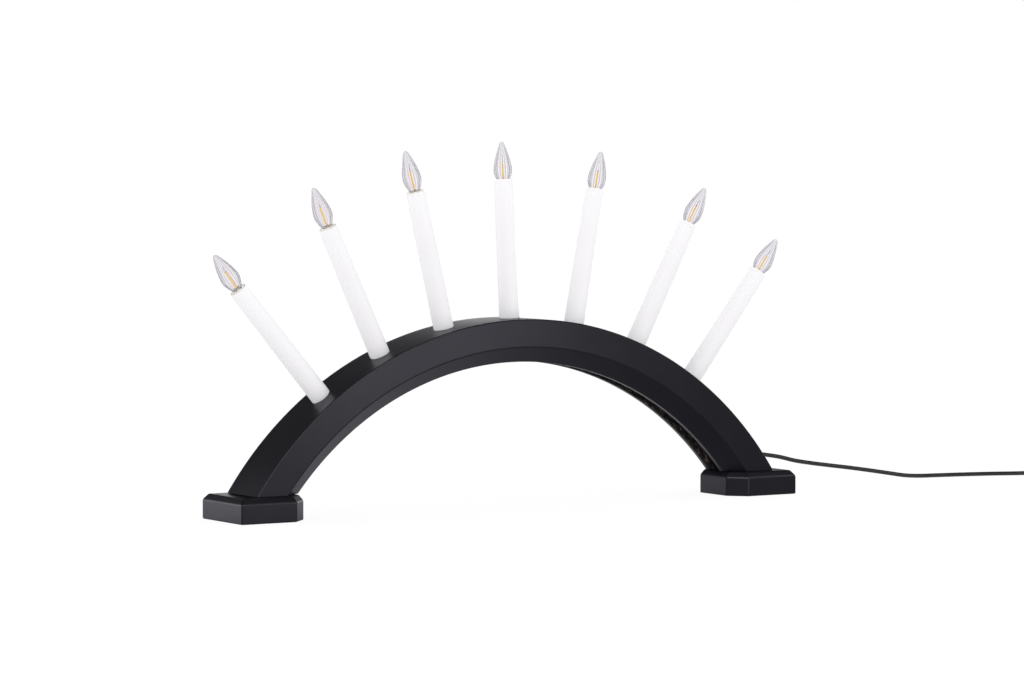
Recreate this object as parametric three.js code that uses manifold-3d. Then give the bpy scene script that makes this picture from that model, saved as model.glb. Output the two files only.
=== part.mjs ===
// Electric candle arch: a bent wooden bridge on two feet carries a row of candle tubes.
// Each tube holds a screw lamp, and the lamps are wired in series along a groove under the arch.
// Millimetres, +Z up. The table is z = 0, the arch lies in the XZ plane and -Y is its front.

import * as THREE from 'three';
import { mergeVertices } from 'three/addons/utils/BufferGeometryUtils.js';
import Module from 'manifold-3d';

const wasm = await Module();
wasm.setup();

// Clearance between pieces that touch or fit into each other
const FIT = 0.3;

// Arch: its outer span and rise are taken at the top of the feet
const ARCH_SPAN = 493.9;
const ARCH_RISE = 132.8;
const ARCH_THICK = 35;
const ARCH_CHAMFER = 12.5;
const ARCH_SEGMENTS = 120;
const GROOVE_WIDTH = 16;
const GROOVE_DEPTH = 20;
const GROOVE_LIP = 4.25;

// Feet: they reach past the arch's outer side by the overhang
const FOOT_OVERHANG = 17.75;
const FOOT_LENGTH = 62.5;
const FOOT_DEPTH = 65;
const FOOT_HEIGHT = 20;
const FOOT_CORNER = 13.6;
const FOOT_BEVEL_DROP = 4.4;
const FOOT_BEVEL_IN = 3.5;

// Countersunk screw that holds each foot from below
const SCREW_D = 3.5;
const SCREW_HEAD_D = 7;
const SCREW_HEAD_H = 2.2;
const SCREW_POINT = 4;
const SCREW_LENGTH = 30;
const SCREW_SINK = 1;

// Candle tubes, numbered from the left
const CANDLE_PITCH_DEG = 12.15;
const TUBE_LENGTH = 113.6;
const TUBE_TAPER = 1.8;
const TUBE_WALL = 0.9;
const TUBE_FLOOR = 2;
const TUBE_BASE_EDGE = 1.2;
const TUBE_MOUTH_EDGE = 0.4;
const TUBE_SIDES = 18;
const SEAT_DEPTH = 0.9;
const SPIGOT_STEP = 2.7;
const SPIGOT_WALL = 0.9;
const SPIGOT_SHORT = 3;

// How each candle stands, by hand and a little unevenly: its lean in degrees from the arch's
// radius towards +X and towards the back, how far its lamp stands above its seat in the
// tube's mouth, and the lamp's own tilt in degrees towards +X
const STANCE = [
  { side: -4.0, back: 0.6, raise: 4.8, tilt: 2.5 },
  { side: -1.5, back: -1.3, raise: 4.8, tilt: 2.5 },
  { side: -2.0, back: -0.8, raise: 4.8, tilt: -2.5 },
  { side: -2.2, back: 1.4, raise: 0.8, tilt: 0.0 },
  { side: -1.5, back: 0.0, raise: 1.6, tilt: 0.0 },
  { side: 1.6, back: -3.5, raise: 3.7, tilt: 2.4 },
  { side: -1.0, back: -4.5, raise: 2.9, tilt: -2.2 },
];

// Screw lamp, measured from its neck, where the glass enters the cap
const CAP_D = 9.4;
const CAP_WALL = 0.5;
const CAP_SHELL = 8.8;
const CAP_CUP = 3.2;
const CAP_TAPER = 1.8;
const CAP_TIP = 1;
const CAP_TIP_D = 3.8;
const THREAD_PITCH = 1.814;
const GLASS_D = 15.2;
const GLASS_HEIGHT = 34;
const GLASS_WALL = 0.8;
const GLASS_BELLY = 11.5;
const GLASS_TIP_D = 3.2;
const GLASS_TAPER = 1.5;
const GLASS_RINGS_LOW = [0, 0.22, 0.5, 1];
const GLASS_RINGS_HIGH = [0.35, 0.65, 0.9];
const FLUTES = 10;
const FLUTE_DEPTH = 0.45;
const STEM_D = 3.2;
const FILAMENT_D = 1.5;
const FILAMENT_FROM = 1.6;
const FILAMENT_BELOW_TIP = 16.5;
const SUPPORT_D = 0.5;
const SUPPORT_BELOW_TIP = 11;

// Lamp holder, pushed into the tube's mouth with its rim above the lamp's neck, and its sprung
// centre contact
const HOLDER_RIM = 0.9;
const HOLDER_WALL = 0.6;
const HOLDER_FLOOR = 2;
const HOLDER_COLLAR = 2;
const HOLDER_COLLAR_STEP = 0.5;
const HOLDER_FIT = 0.4;
const CONTACT_HEAD_D = 4.6;
const CONTACT_HEAD_H = 0.6;
const CONTACT_TOP_D = 3;
const CONTACT_STEM_D = 1.8;
const CONTACT_FOOT_D = 3.8;
const CONTACT_FOOT_H = 0.6;

// Wires in the groove
const WIRE_D = 1.4;
const WIRE_CLEAR = 1;
const WIRE_PINCH = 2.4;
const WIRE_DROP = 2.5;
const WIRE_BEND = 4;
const LINK_Y = -3;
const RETURN_Y = 4.5;
const WIRE_SIDES = 5;
const WIRE_STEP_DEG = 4;

// Mains lead
const CORD_D = 3.6;
const EXIT_ABOVE_FOOT = 14;
const RELIEF_SHANK_D = 4.6;
const RELIEF_FLANGE_D = 8.4;
const RELIEF_FLANGE_H = 1.5;
const RELIEF_NOSE_D = 6.8;
const RELIEF_END_D = 5;
const RELIEF_NOSE = 10.5;
const RELIEF_STICKS_IN = 0.5;
const CORD_STEPS = 44;

// Route of the free lead after it leaves the strain relief: it droops to the table
const CORD_ROUTE = [
  [214.6, 41.5, 34.0],
  [215.6, 45.2, 33.9],
  [218.5, 49.5, 33.8],
  [223.2, 52.8, 33.5],
  [230.0, 54.5, 33.0],
  [242.0, 54.8, 32.0],
  [258.0, 54.3, 30.4],
  [276.0, 53.3, 28.4],
  [294.4, 52.0, 26.0],
  [308.5, 50.8, 23.6],
  [322.5, 49.6, 20.2],
  [338.7, 48.2, 17.4],
  [359.0, 46.5, 14.5],
  [379.4, 44.7, 11.7],
  [400.0, 43.0, 8.6],
  [420.6, 41.3, 5.3],
  [436.2, 40.0, 2.9],
  [450.0, 38.4, 2.0],
  [466.0, 35.9, 1.9],
  [485.0, 32.4, 1.9],
  [504.0, 28.0, 1.9],
  [522.0, 22.6, 1.9],
  [539.5, 15.6, 1.9],
  [556.0, 6.4, 2.3],
  [572.0, -5.2, 2.8],
  [583.5, -14.2, 2.9],
];

// Coil of the rest of the lead, wound in layers that spiral in and out
const COIL_MEAN_D = 43.2;
const COIL_LAYERS = 4;
const COIL_TURNS = 2.125;
const COIL_GAP = 0.6;
const COIL_BULGE = 1.2;
const COIL_CLIMB = 0.5;
const COIL_STEPS = 24;
const COIL_SIDES = 6;
const TAIL_LEVEL = 17;
const TAIL_DROP = 25;
const TAIL_STEPS = 8;
const TIE_THICK = 0.8;
const TIE_WIDTH = 7;

// Flat two-pin plug
const PLUG_LENGTH = 36;
const PLUG_WIDTH = 35.3;
const PLUG_THICK = 13.7;
const PLUG_NECK_W = 9;
const PLUG_NECK = 9;
const PLUG_GRIP_W = 24;
const PLUG_FACE = 14;
const PLUG_SHOULDER = 2;
const PLUG_EDGE = 2.2;
const PLUG_CURVE_STEPS = 4;
const PIN_D = 4;
const PIN_LENGTH = 19;
const PIN_SPACING = 18.6;

// Facets of the round pieces
const HOLE_SIDES = 20;
const TURNED_SIDES = 12;
const SMALL_SIDES = 8;

// Looks
const SATIN_BLACK = { color: 0x1d1d1f, roughness: 0.45, metalness: 0 };
const IVORY_WHITE = { color: 0xf4f3f1, roughness: 0.35, metalness: 0 };
const HOLDER_WHITE = { color: 0xdedcd6, roughness: 0.5, metalness: 0 };
const NICKEL = { color: 0xb9b4a8, roughness: 0.3, metalness: 1 };
const BRASS = { color: 0xb08d4a, roughness: 0.35, metalness: 1 };
const ZINC = { color: 0x9a9c9e, roughness: 0.4, metalness: 1 };
const CLEAR_GLASS = { color: 0xf4f7f8, roughness: 0.05, metalness: 0, transparent: true, opacity: 0.35 };
const WARM_PHOSPHOR = { color: 0xf2b24a, roughness: 0.6, metalness: 0 };
const WIRE_BROWN = { color: 0x5a4334, roughness: 0.6, metalness: 0 };
const LEAD_BLACK = { color: 0x161617, roughness: 0.55, metalness: 0 };

// Values that follow from the sizes above
const archOuterR = (ARCH_RISE ** 2 + (ARCH_SPAN / 2) ** 2) / (2 * ARCH_RISE);
const archInnerR = archOuterR - ARCH_THICK;
const archCentreZ = FOOT_HEIGHT + ARCH_RISE - archOuterR;
const archDepth = GROOVE_WIDTH + 2 * (GROOVE_LIP + ARCH_CHAMFER);
const grooveRoofR = archInnerR + GROOVE_DEPTH;
const roofThick = ARCH_THICK - GROOVE_DEPTH;
const footOuterX = ARCH_SPAN / 2 + FOOT_OVERHANG;
const screwTopZ = SCREW_SINK + SCREW_LENGTH;
const screwX = (archX(archOuterR, screwTopZ) + archX(grooveRoofR, FOOT_HEIGHT)) / 2;
const holderBoreR = CAP_D / 2 + FIT;
const holderOuterR = holderBoreR + HOLDER_WALL;
const holderCollarR = holderOuterR + HOLDER_COLLAR_STEP;
const tubeMouthBoreR = holderCollarR + HOLDER_FIT;
const tubeTopR = tubeMouthBoreR + TUBE_WALL;
const tubeBaseR = tubeTopR + TUBE_TAPER / 2;
const tubeBaseZ = FIT - SEAT_DEPTH;
const tubeMouthZ = tubeBaseZ + TUBE_LENGTH;
const spigotR = tubeBaseR - SPIGOT_STEP;
const spigotBoreR = spigotR - SPIGOT_WALL;
const spigotZ = tubeBaseZ + SPIGOT_SHORT - roofThick;
const neckR = CAP_D / 2 - CAP_WALL - FIT;
const lampSeat = glassSeat(tubeMouthBoreR * Math.cos(Math.PI / TUBE_SIDES) - FIT);
const capTipZ = -CAP_SHELL - CAP_TAPER - CAP_TIP;
const contactTopZ = capTipZ - FIT;
const holderFloorZ = contactTopZ - CONTACT_HEAD_H - FIT;
const holderBottomZ = holderFloorZ - HOLDER_FLOOR;
const wireSpread = (CONTACT_FOOT_D + WIRE_D) / 2 + WIRE_CLEAR;
const wireRunR = grooveRoofR - WIRE_DROP;
const reliefHoleR = RELIEF_SHANK_D / 2 + FIT;
const exitZ = FOOT_HEIGHT + EXIT_ABOVE_FOOT;
const exitR = grooveRoofR - reliefHoleR - FIT;
const exitX = archX(exitR, exitZ);
const exitAngle = Math.atan2(exitX, exitZ - archCentreZ);
const reliefStartY = GROOVE_WIDTH / 2 - RELIEF_STICKS_IN;
const reliefShank = archDepth / 2 + FIT - reliefStartY;
const reliefLength = reliefShank + RELIEF_FLANGE_H + RELIEF_NOSE;
const coilStep = CORD_D + COIL_GAP;
const coilBaseZ = TIE_THICK + FIT + CORD_D / 2;

// Merges shared vertices, drops slivers on an axis and turns the faces outward
function weld(geometry) {
  geometry.deleteAttribute('normal');
  geometry.deleteAttribute('uv');
  const welded = mergeVertices(geometry, 1e-4);
  const place = welded.attributes.position;
  const corners = welded.index.array;
  const kept = [];
  const [a, b, c] = [new THREE.Vector3(), new THREE.Vector3(), new THREE.Vector3()];
  let volume = 0;
  for (let i = 0; i < corners.length; i += 3) {
    const [p, q, r] = corners.slice(i, i + 3);
    if (p === q || q === r || r === p) continue;
    kept.push(p, q, r);
    a.fromBufferAttribute(place, p);
    b.fromBufferAttribute(place, q);
    c.fromBufferAttribute(place, r);
    volume += a.dot(b.cross(c));
  }
  if (volume < 0) kept.reverse();
  welded.setIndex(kept);
  welded.computeVertexNormals();
  return welded;
}

// Turns a profile of [radius, height] points about Z
function revolve(profile, sides) {
  const points = profile.map(([r, z]) => new THREE.Vector2(r, z));
  return weld(new THREE.LatheGeometry(points, sides).rotateX(Math.PI / 2));
}

// Turns a profile that doesn't reach the axis, so that it closes on itself
function revolveRing(profile, sides) {
  return revolve([...profile, profile[0]], sides);
}

// Round tube with closed ends along a row of points
function tubeAlong(points, diameter, sides) {
  const corners = [];
  const index = [];
  const last = points.length - 1;
  const up = new THREE.Vector3(0, 0.2, 1);
  points.forEach((point, i) => {
    const ahead = points[Math.min(i + 1, last)].clone().sub(points[Math.max(i - 1, 0)]).normalize();
    up.addScaledVector(ahead, -up.dot(ahead)).normalize();
    const across = new THREE.Vector3().crossVectors(ahead, up);
    for (let k = 0; k < sides; k += 1) {
      const turn = (k / sides) * 2 * Math.PI;
      const corner = point.clone();
      corner.addScaledVector(up, (Math.cos(turn) * diameter) / 2);
      corner.addScaledVector(across, (Math.sin(turn) * diameter) / 2);
      corners.push(...corner.toArray());
    }
  });
  for (let i = 0; i < last; i += 1) {
    for (let k = 0; k < sides; k += 1) {
      const [p, q] = [i * sides + k, i * sides + ((k + 1) % sides)];
      index.push(p, q, q + sides, p, q + sides, p + sides);
    }
  }
  for (let k = 1; k < sides - 1; k += 1) {
    const end = last * sides;
    index.push(0, k + 1, k, end, end + k, end + k + 1);
  }
  const geometry = new THREE.BufferGeometry();
  geometry.setAttribute('position', new THREE.Float32BufferAttribute(corners, 3));
  geometry.setIndex(index);
  return weld(geometry);
}

function toManifold(geometry) {
  const vertProperties = new Float32Array(geometry.attributes.position.array);
  const triVerts = new Uint32Array(geometry.index.array);
  return new wasm.Manifold(new wasm.Mesh({ numProp: 3, vertProperties, triVerts }));
}

function fromManifold(manifold) {
  const mesh = manifold.getMesh();
  const geometry = new THREE.BufferGeometry();
  geometry.setAttribute('position', new THREE.BufferAttribute(mesh.vertProperties, 3));
  geometry.setIndex(new THREE.BufferAttribute(mesh.triVerts, 1));
  geometry.computeVertexNormals();
  return geometry;
}

function cut(geometry, tools) {
  const tooled = tools.reduce((body, tool) => body.subtract(toManifold(tool)), toManifold(geometry));
  return fromManifold(tooled);
}

function piece(name, geometry, look) {
  const mesh = new THREE.Mesh(geometry, new THREE.MeshStandardMaterial(look));
  mesh.name = name;
  return mesh;
}

// Distance from the middle at which a circle about the arch's centre reaches a height
function archX(radius, z) {
  return Math.sqrt(radius ** 2 - (z - archCentreZ) ** 2);
}

// Point on a circle about the arch's centre, at an angle from the crest towards +X
function archPoint(radius, angle, y) {
  return new THREE.Vector3(radius * Math.sin(angle), y, archCentreZ + radius * Math.cos(angle));
}

function candleAngle(i) {
  return THREE.MathUtils.degToRad((i - (STANCE.length - 1) / 2) * CANDLE_PITCH_DEG);
}

// Group of one candle: its origin is on the arch's surface and its Z runs up the tube
function candleGroup(i) {
  const { side, back } = STANCE[i];
  const group = new THREE.Group();
  group.position.copy(archPoint(archOuterR, candleAngle(i), 0));
  group.rotation.set(
    -THREE.MathUtils.degToRad(back),
    candleAngle(i) + THREE.MathUtils.degToRad(side),
    0,
    'YXZ',
  );
  return group;
}

// Group of one lamp in its holder, inside its candle's group: its origin is the lamp's neck
function lampGroup(i) {
  const { raise, tilt } = STANCE[i];
  const group = new THREE.Group();
  group.position.z = tubeMouthZ - lampSeat + raise;
  group.rotation.y = THREE.MathUtils.degToRad(tilt);
  return group;
}

// Arch: a chamfered and grooved section turned about the arch's centre, trimmed at the feet,
// with a seat and a hole for each candle, the lead's hole and the screws' pilot holes
function archSolid(candles) {
  const half = archDepth / 2;
  const lip = half - ARCH_CHAMFER;
  const section = [
    [archOuterR, -half],
    [archOuterR, half],
    [archInnerR + ARCH_CHAMFER, half],
    [archInnerR, lip],
    [archInnerR, GROOVE_WIDTH / 2],
    [grooveRoofR, GROOVE_WIDTH / 2],
    [grooveRoofR, -GROOVE_WIDTH / 2],
    [archInnerR, -GROOVE_WIDTH / 2],
    [archInnerR, -lip],
    [archInnerR + ARCH_CHAMFER, -half],
    [archOuterR, -half],
  ].map(([r, y]) => new THREE.Vector2(r, y));
  const ring = weld(new THREE.LatheGeometry(section, ARCH_SEGMENTS).translate(0, 0, archCentreZ));
  const reach = 2 * archOuterR;
  const above = weld(new THREE.BoxGeometry(2 * reach, reach, reach));
  above.translate(0, 0, FOOT_HEIGHT + FIT + reach / 2);
  const trimmed = fromManifold(toManifold(ring).intersect(toManifold(above)));
  const tools = candles.map((candle) => candleHole(candle));
  const leadHole = weld(new THREE.CylinderGeometry(reliefHoleR, reliefHoleR, archDepth, TURNED_SIDES));
  tools.push(leadHole.translate(exitX, half, exitZ));
  for (const sign of [-1, 1]) {
    tools.push(screwHole().translate(sign * screwX, 0, 0));
  }
  return cut(trimmed, tools);
}

// Flat seat for a tube's base and the hole that takes its spigot and wires
function candleHole(candle) {
  const seatR = tubeBaseR + FIT;
  const holeR = spigotR + FIT;
  const clear = tubeBaseR;
  const profile = [
    [0, -roofThick - WIRE_DROP],
    [holeR, -roofThick - WIRE_DROP],
    [holeR, -SEAT_DEPTH],
    [seatR, -SEAT_DEPTH],
    [seatR, clear],
    [0, clear],
  ];
  return revolve(profile, HOLE_SIDES).applyMatrix4(candle.matrixWorld);
}

// Foot: a block with its two inner corners cut off and its top edges bevelled
function footSolid(sign) {
  const [near, far] = [footOuterX - FOOT_LENGTH, footOuterX];
  const half = FOOT_DEPTH / 2;
  const outline = (inset) => {
    const corner = FOOT_CORNER - inset * (2 - Math.SQRT2);
    const [x0, x1, y1] = [near + inset, far - inset, half - inset];
    return [
      [x1, -y1],
      [x1, y1],
      [x0 + corner, y1],
      [x0, y1 - corner],
      [x0, corner - y1],
      [x0 + corner, -y1],
    ];
  };
  const levels = [
    { z: 0, inset: 0 },
    { z: FOOT_HEIGHT - FOOT_BEVEL_DROP, inset: 0 },
    { z: FOOT_HEIGHT, inset: FOOT_BEVEL_IN },
  ];
  const corners = levels.flatMap(({ z, inset }) => outline(inset).map(([x, y]) => [sign * x, y, z]));
  const count = outline(0).length;
  const index = [];
  for (let level = 0; level < levels.length - 1; level += 1) {
    for (let k = 0; k < count; k += 1) {
      const [p, q] = [level * count + k, level * count + ((k + 1) % count)];
      index.push(p, q, q + count, p, q + count, p + count);
    }
  }
  const top = (levels.length - 1) * count;
  for (let k = 1; k < count - 1; k += 1) {
    index.push(0, k + 1, k, top, top + k, top + k + 1);
  }
  const geometry = new THREE.BufferGeometry();
  geometry.setAttribute('position', new THREE.Float32BufferAttribute(corners.flat(), 3));
  geometry.setIndex(index);
  return cut(weld(geometry), [screwHole().translate(sign * screwX, 0, 0)]);
}

function screwSolid() {
  const [headR, shankR] = [SCREW_HEAD_D / 2, SCREW_D / 2];
  return revolve(
    [
      [0, SCREW_SINK],
      [headR, SCREW_SINK],
      [shankR, SCREW_SINK + SCREW_HEAD_H],
      [shankR, screwTopZ - SCREW_POINT],
      [0, screwTopZ],
    ],
    TURNED_SIDES,
  );
}

// Countersunk hole round the screw, open at the foot's underside
function screwHole() {
  const [headR, shankR] = [SCREW_HEAD_D / 2 + FIT, SCREW_D / 2 + FIT];
  const top = screwTopZ + FIT;
  return revolve(
    [
      [0, -FIT],
      [headR, -FIT],
      [headR, SCREW_SINK + FIT / 2],
      [shankR, SCREW_SINK + SCREW_HEAD_H + FIT / 2],
      [shankR, top],
      [0, top],
    ],
    TURNED_SIDES,
  );
}

// Candle tube: a tapered hollow sleeve with a floor and a spigot that goes into the arch
function tubeSolid() {
  const floorZ = tubeBaseZ + TUBE_FLOOR;
  return revolveRing(
    [
      [spigotBoreR, spigotZ],
      [spigotR, spigotZ],
      [spigotR, tubeBaseZ],
      [tubeBaseR - TUBE_BASE_EDGE, tubeBaseZ],
      [tubeBaseR, tubeBaseZ + TUBE_BASE_EDGE],
      [tubeTopR, tubeMouthZ - TUBE_MOUTH_EDGE],
      [tubeTopR - TUBE_MOUTH_EDGE, tubeMouthZ],
      [tubeMouthBoreR, tubeMouthZ],
      [tubeBaseR - TUBE_WALL, floorZ],
      [spigotBoreR, floorZ],
    ],
    TUBE_SIDES,
  );
}

// Lamp holder: a cup round the lamp's cap, with a collar that seats in the tube's bore
function holderSolid() {
  const stemR = CONTACT_STEM_D / 2 + FIT;
  return revolveRing(
    [
      [stemR, holderBottomZ],
      [holderOuterR, holderBottomZ],
      [holderOuterR, HOLDER_RIM - HOLDER_COLLAR],
      [holderCollarR, HOLDER_RIM - HOLDER_COLLAR],
      [holderCollarR, HOLDER_RIM],
      [holderBoreR, HOLDER_RIM],
      [holderBoreR, holderFloorZ],
      [stemR, holderFloorZ],
    ],
    TURNED_SIDES,
  );
}

// Centre contact: a button on a stem, kept in the holder's floor by a foot below it
function contactSolid() {
  const headZ = contactTopZ - CONTACT_HEAD_H;
  const footZ = holderBottomZ - FIT - THREAD_PITCH;
  return revolve(
    [
      [0, footZ - CONTACT_FOOT_H],
      [CONTACT_FOOT_D / 2, footZ - CONTACT_FOOT_H],
      [CONTACT_FOOT_D / 2, footZ],
      [CONTACT_STEM_D / 2, footZ],
      [CONTACT_STEM_D / 2, headZ],
      [CONTACT_HEAD_D / 2, headZ],
      [CONTACT_TOP_D / 2, contactTopZ],
      [0, contactTopZ],
    ],
    SMALL_SIDES,
  );
}

// Lamp cap: a metal cup with a tapered insulator and a solder tip below
function capSolid() {
  const capR = CAP_D / 2;
  return revolve(
    [
      [0, capTipZ],
      [CAP_TIP_D / 2, capTipZ + CAP_TIP / 2],
      [CAP_TIP_D / 2, capTipZ + CAP_TIP],
      [capR, -CAP_SHELL],
      [capR, 0],
      [capR - CAP_WALL, 0],
      [capR - CAP_WALL, -CAP_CUP],
      [0, -CAP_CUP],
    ],
    TURNED_SIDES,
  );
}

// Radius of the flame-shaped glass at a height above the neck
function glassRadius(height) {
  const bellyR = GLASS_D / 2;
  const tipR = GLASS_TIP_D / 2;
  if (height <= FIT) return neckR;
  if (height < GLASS_BELLY) {
    const rise = (height - FIT) / (GLASS_BELLY - FIT);
    return neckR + (bellyR - neckR) * Math.sin((rise * Math.PI) / 2);
  }
  const fall = (height - GLASS_BELLY) / (GLASS_HEIGHT - GLASS_BELLY);
  return tipR + (bellyR - tipR) * (1 - fall ** GLASS_TAPER);
}

// Height above the neck at which the glass's lower half reaches a radius
function glassSeat(radius) {
  const share = Math.min(1, (radius - neckR) / (GLASS_D / 2 - neckR));
  return FIT + (Math.asin(share) / (Math.PI / 2)) * (GLASS_BELLY - FIT);
}

// Lamp glass: a thin flame-shaped shell, fluted lengthwise and open at the neck
function glassSolid() {
  const neckZ = FIT - CAP_CUP;
  const low = GLASS_RINGS_LOW.map((share) => FIT + share * (GLASS_BELLY - FIT));
  const high = GLASS_RINGS_HIGH.map((share) => GLASS_BELLY + share * (GLASS_HEIGHT - GLASS_BELLY));
  const shell = GLASS_WALL + FLUTE_DEPTH;
  const profile = [
    [neckR, neckZ],
    ...[...low, ...high].map((height) => [glassRadius(height), height]),
    [0, GLASS_HEIGHT],
    [0, GLASS_HEIGHT - 2 * GLASS_WALL - GLASS_TIP_D / 2],
    ...[high[1], high[0], low[3], low[2]].map((height) => [glassRadius(height) - shell, height]),
    [neckR - GLASS_WALL, FIT + GLASS_WALL],
    [neckR - GLASS_WALL, neckZ],
  ];
  return flute(revolveRing(profile, 2 * FLUTES));
}

// Draws every second edge of the glass's outside in, from the neck up to the tip
function flute(glass) {
  const place = glass.attributes.position;
  for (let i = 0; i < place.count; i += 1) {
    const [x, y, z] = [place.getX(i), place.getY(i), place.getZ(i)];
    const radius = Math.hypot(x, y);
    const outside = z > 2 * FIT && radius > glassRadius(z) - FLUTE_DEPTH;
    const edge = Math.round((Math.atan2(y, x) / Math.PI) * FLUTES);
    if (outside && radius > neckR / 2 && edge % 2 !== 0) {
      const drawn = (radius - FLUTE_DEPTH * Math.min(1, radius / neckR)) / radius;
      place.setXY(i, x * drawn, y * drawn);
    }
  }
  return glass;
}

// Light filament on its stem, with the thin support wire above it
function filamentSolid() {
  const [stemR, stickR, wireR] = [STEM_D / 2, FILAMENT_D / 2, SUPPORT_D / 2];
  const stickTop = GLASS_HEIGHT - FILAMENT_BELOW_TIP;
  const wireTop = GLASS_HEIGHT - SUPPORT_BELOW_TIP;
  return revolve(
    [
      [0, FIT - CAP_CUP],
      [stemR, FIT - CAP_CUP],
      [stemR, 0],
      [stickR, FILAMENT_FROM],
      [stickR, stickTop],
      [wireR, stickTop + wireR],
      [wireR, wireTop],
      [0, wireTop],
    ],
    SMALL_SIDES,
  );
}

// Points of a wire from a holder's underside down its tube into the groove, on one side of it
function wireDrop(candle, lamp, side) {
  const down = [
    [lamp, wireSpread, holderBottomZ - FIT],
    [lamp, wireSpread, holderBottomZ - FIT - 2 * WIRE_BEND],
    [candle, WIRE_PINCH, tubeBaseZ + TUBE_FLOOR + 2 * WIRE_BEND],
    [candle, WIRE_PINCH, spigotZ],
    [candle, WIRE_PINCH + WIRE_D / 2, -roofThick - WIRE_D / 2],
  ];
  return down.map(([frame, x, z]) => new THREE.Vector3(side * x, 0, z).applyMatrix4(frame.matrixWorld));
}

// Points along the groove between two angles
function wireRun(from, to, y) {
  const steps = Math.max(2, Math.ceil(Math.abs(to - from) / THREE.MathUtils.degToRad(WIRE_STEP_DEG)));
  const run = [];
  for (let k = 0; k <= steps; k += 1) {
    run.push(archPoint(wireRunR, from + ((to - from) * k) / steps, y));
  }
  return run;
}

// Points that turn a wire out of the groove to the strain relief's inner end
function wireToRelief(offset, fromY) {
  const endY = reliefStartY - FIT;
  const angle = exitAngle + offset / exitR;
  return [archPoint(exitR, angle, (fromY + endY) / 2), archPoint(exitR, angle, endY)];
}

function wires(candles, lamps) {
  const away = (WIRE_PINCH + WIRE_BEND) / wireRunR;
  const last = STANCE.length - 1;
  const made = [];
  for (let i = 0; i < last; i += 1) {
    const route = [
      ...wireDrop(candles[i], lamps[i], 1),
      ...wireRun(candleAngle(i) + away, candleAngle(i + 1) - away, LINK_Y),
      ...wireDrop(candles[i + 1], lamps[i + 1], -1).reverse(),
    ];
    made.push(piece(`wire_link_${i + 1}_${i + 2}`, tubeAlong(route, WIRE_D, WIRE_SIDES), WIRE_BROWN));
  }
  const feed = [
    ...wireDrop(candles[last], lamps[last], 1),
    ...wireRun(candleAngle(last) + away, exitAngle, LINK_Y),
    ...wireToRelief(WIRE_D, LINK_Y),
  ];
  const back = [
    ...wireDrop(candles[0], lamps[0], -1),
    ...wireRun(candleAngle(0) - away / 2, exitAngle - away / 2, RETURN_Y),
    ...wireToRelief(-WIRE_D, RETURN_Y),
  ];
  made.push(piece('wire_feed', tubeAlong(feed, WIRE_D, WIRE_SIDES), WIRE_BROWN));
  made.push(piece('wire_return', tubeAlong(back, WIRE_D, WIRE_SIDES), WIRE_BROWN));
  return made;
}

// Strain relief: a shank in the arch's hole, a flange on the arch's back and a tapered nose
function reliefSolid() {
  const flangeZ = reliefShank + RELIEF_FLANGE_H;
  return revolve(
    [
      [0, 0],
      [RELIEF_SHANK_D / 2, 0],
      [RELIEF_SHANK_D / 2, reliefShank],
      [RELIEF_FLANGE_D / 2, reliefShank],
      [RELIEF_FLANGE_D / 2, flangeZ],
      [RELIEF_NOSE_D / 2, flangeZ],
      [RELIEF_END_D / 2, reliefLength],
      [0, reliefLength],
    ],
    TURNED_SIDES,
  );
}

// Free stretch of the lead
function cordSolid() {
  const exit = new THREE.Vector3(exitX, reliefStartY + reliefLength + FIT, exitZ);
  const route = [exit, ...CORD_ROUTE.map((point) => new THREE.Vector3(...point))];
  const section = new THREE.Shape();
  section.absarc(0, 0, CORD_D / 2, 0, 2 * Math.PI);
  const options = {
    steps: CORD_STEPS,
    curveSegments: SMALL_SIDES / 2,
    bevelEnabled: false,
    extrudePath: new THREE.CatmullRomCurve3(route, false, 'centripetal'),
  };
  return weld(new THREE.ExtrudeGeometry(section, options));
}

// Frame of the coil: where the lead runs into it, its heading there and the coil's centre
function coilFrame() {
  const [before, start] = CORD_ROUTE.slice(-2).map((point) => new THREE.Vector3(...point).setZ(0));
  const heading = start.clone().sub(before).normalize();
  start.addScaledVector(heading, FIT + CORD_D);
  const outerR = (COIL_MEAN_D + COIL_TURNS * coilStep) / 2;
  const right = new THREE.Vector3(heading.y, -heading.x, 0);
  const centre = start.clone().addScaledVector(right, outerR);
  return { heading, start, centre, outerR, startAngle: Math.atan2(-right.y, -right.x) };
}

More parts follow.
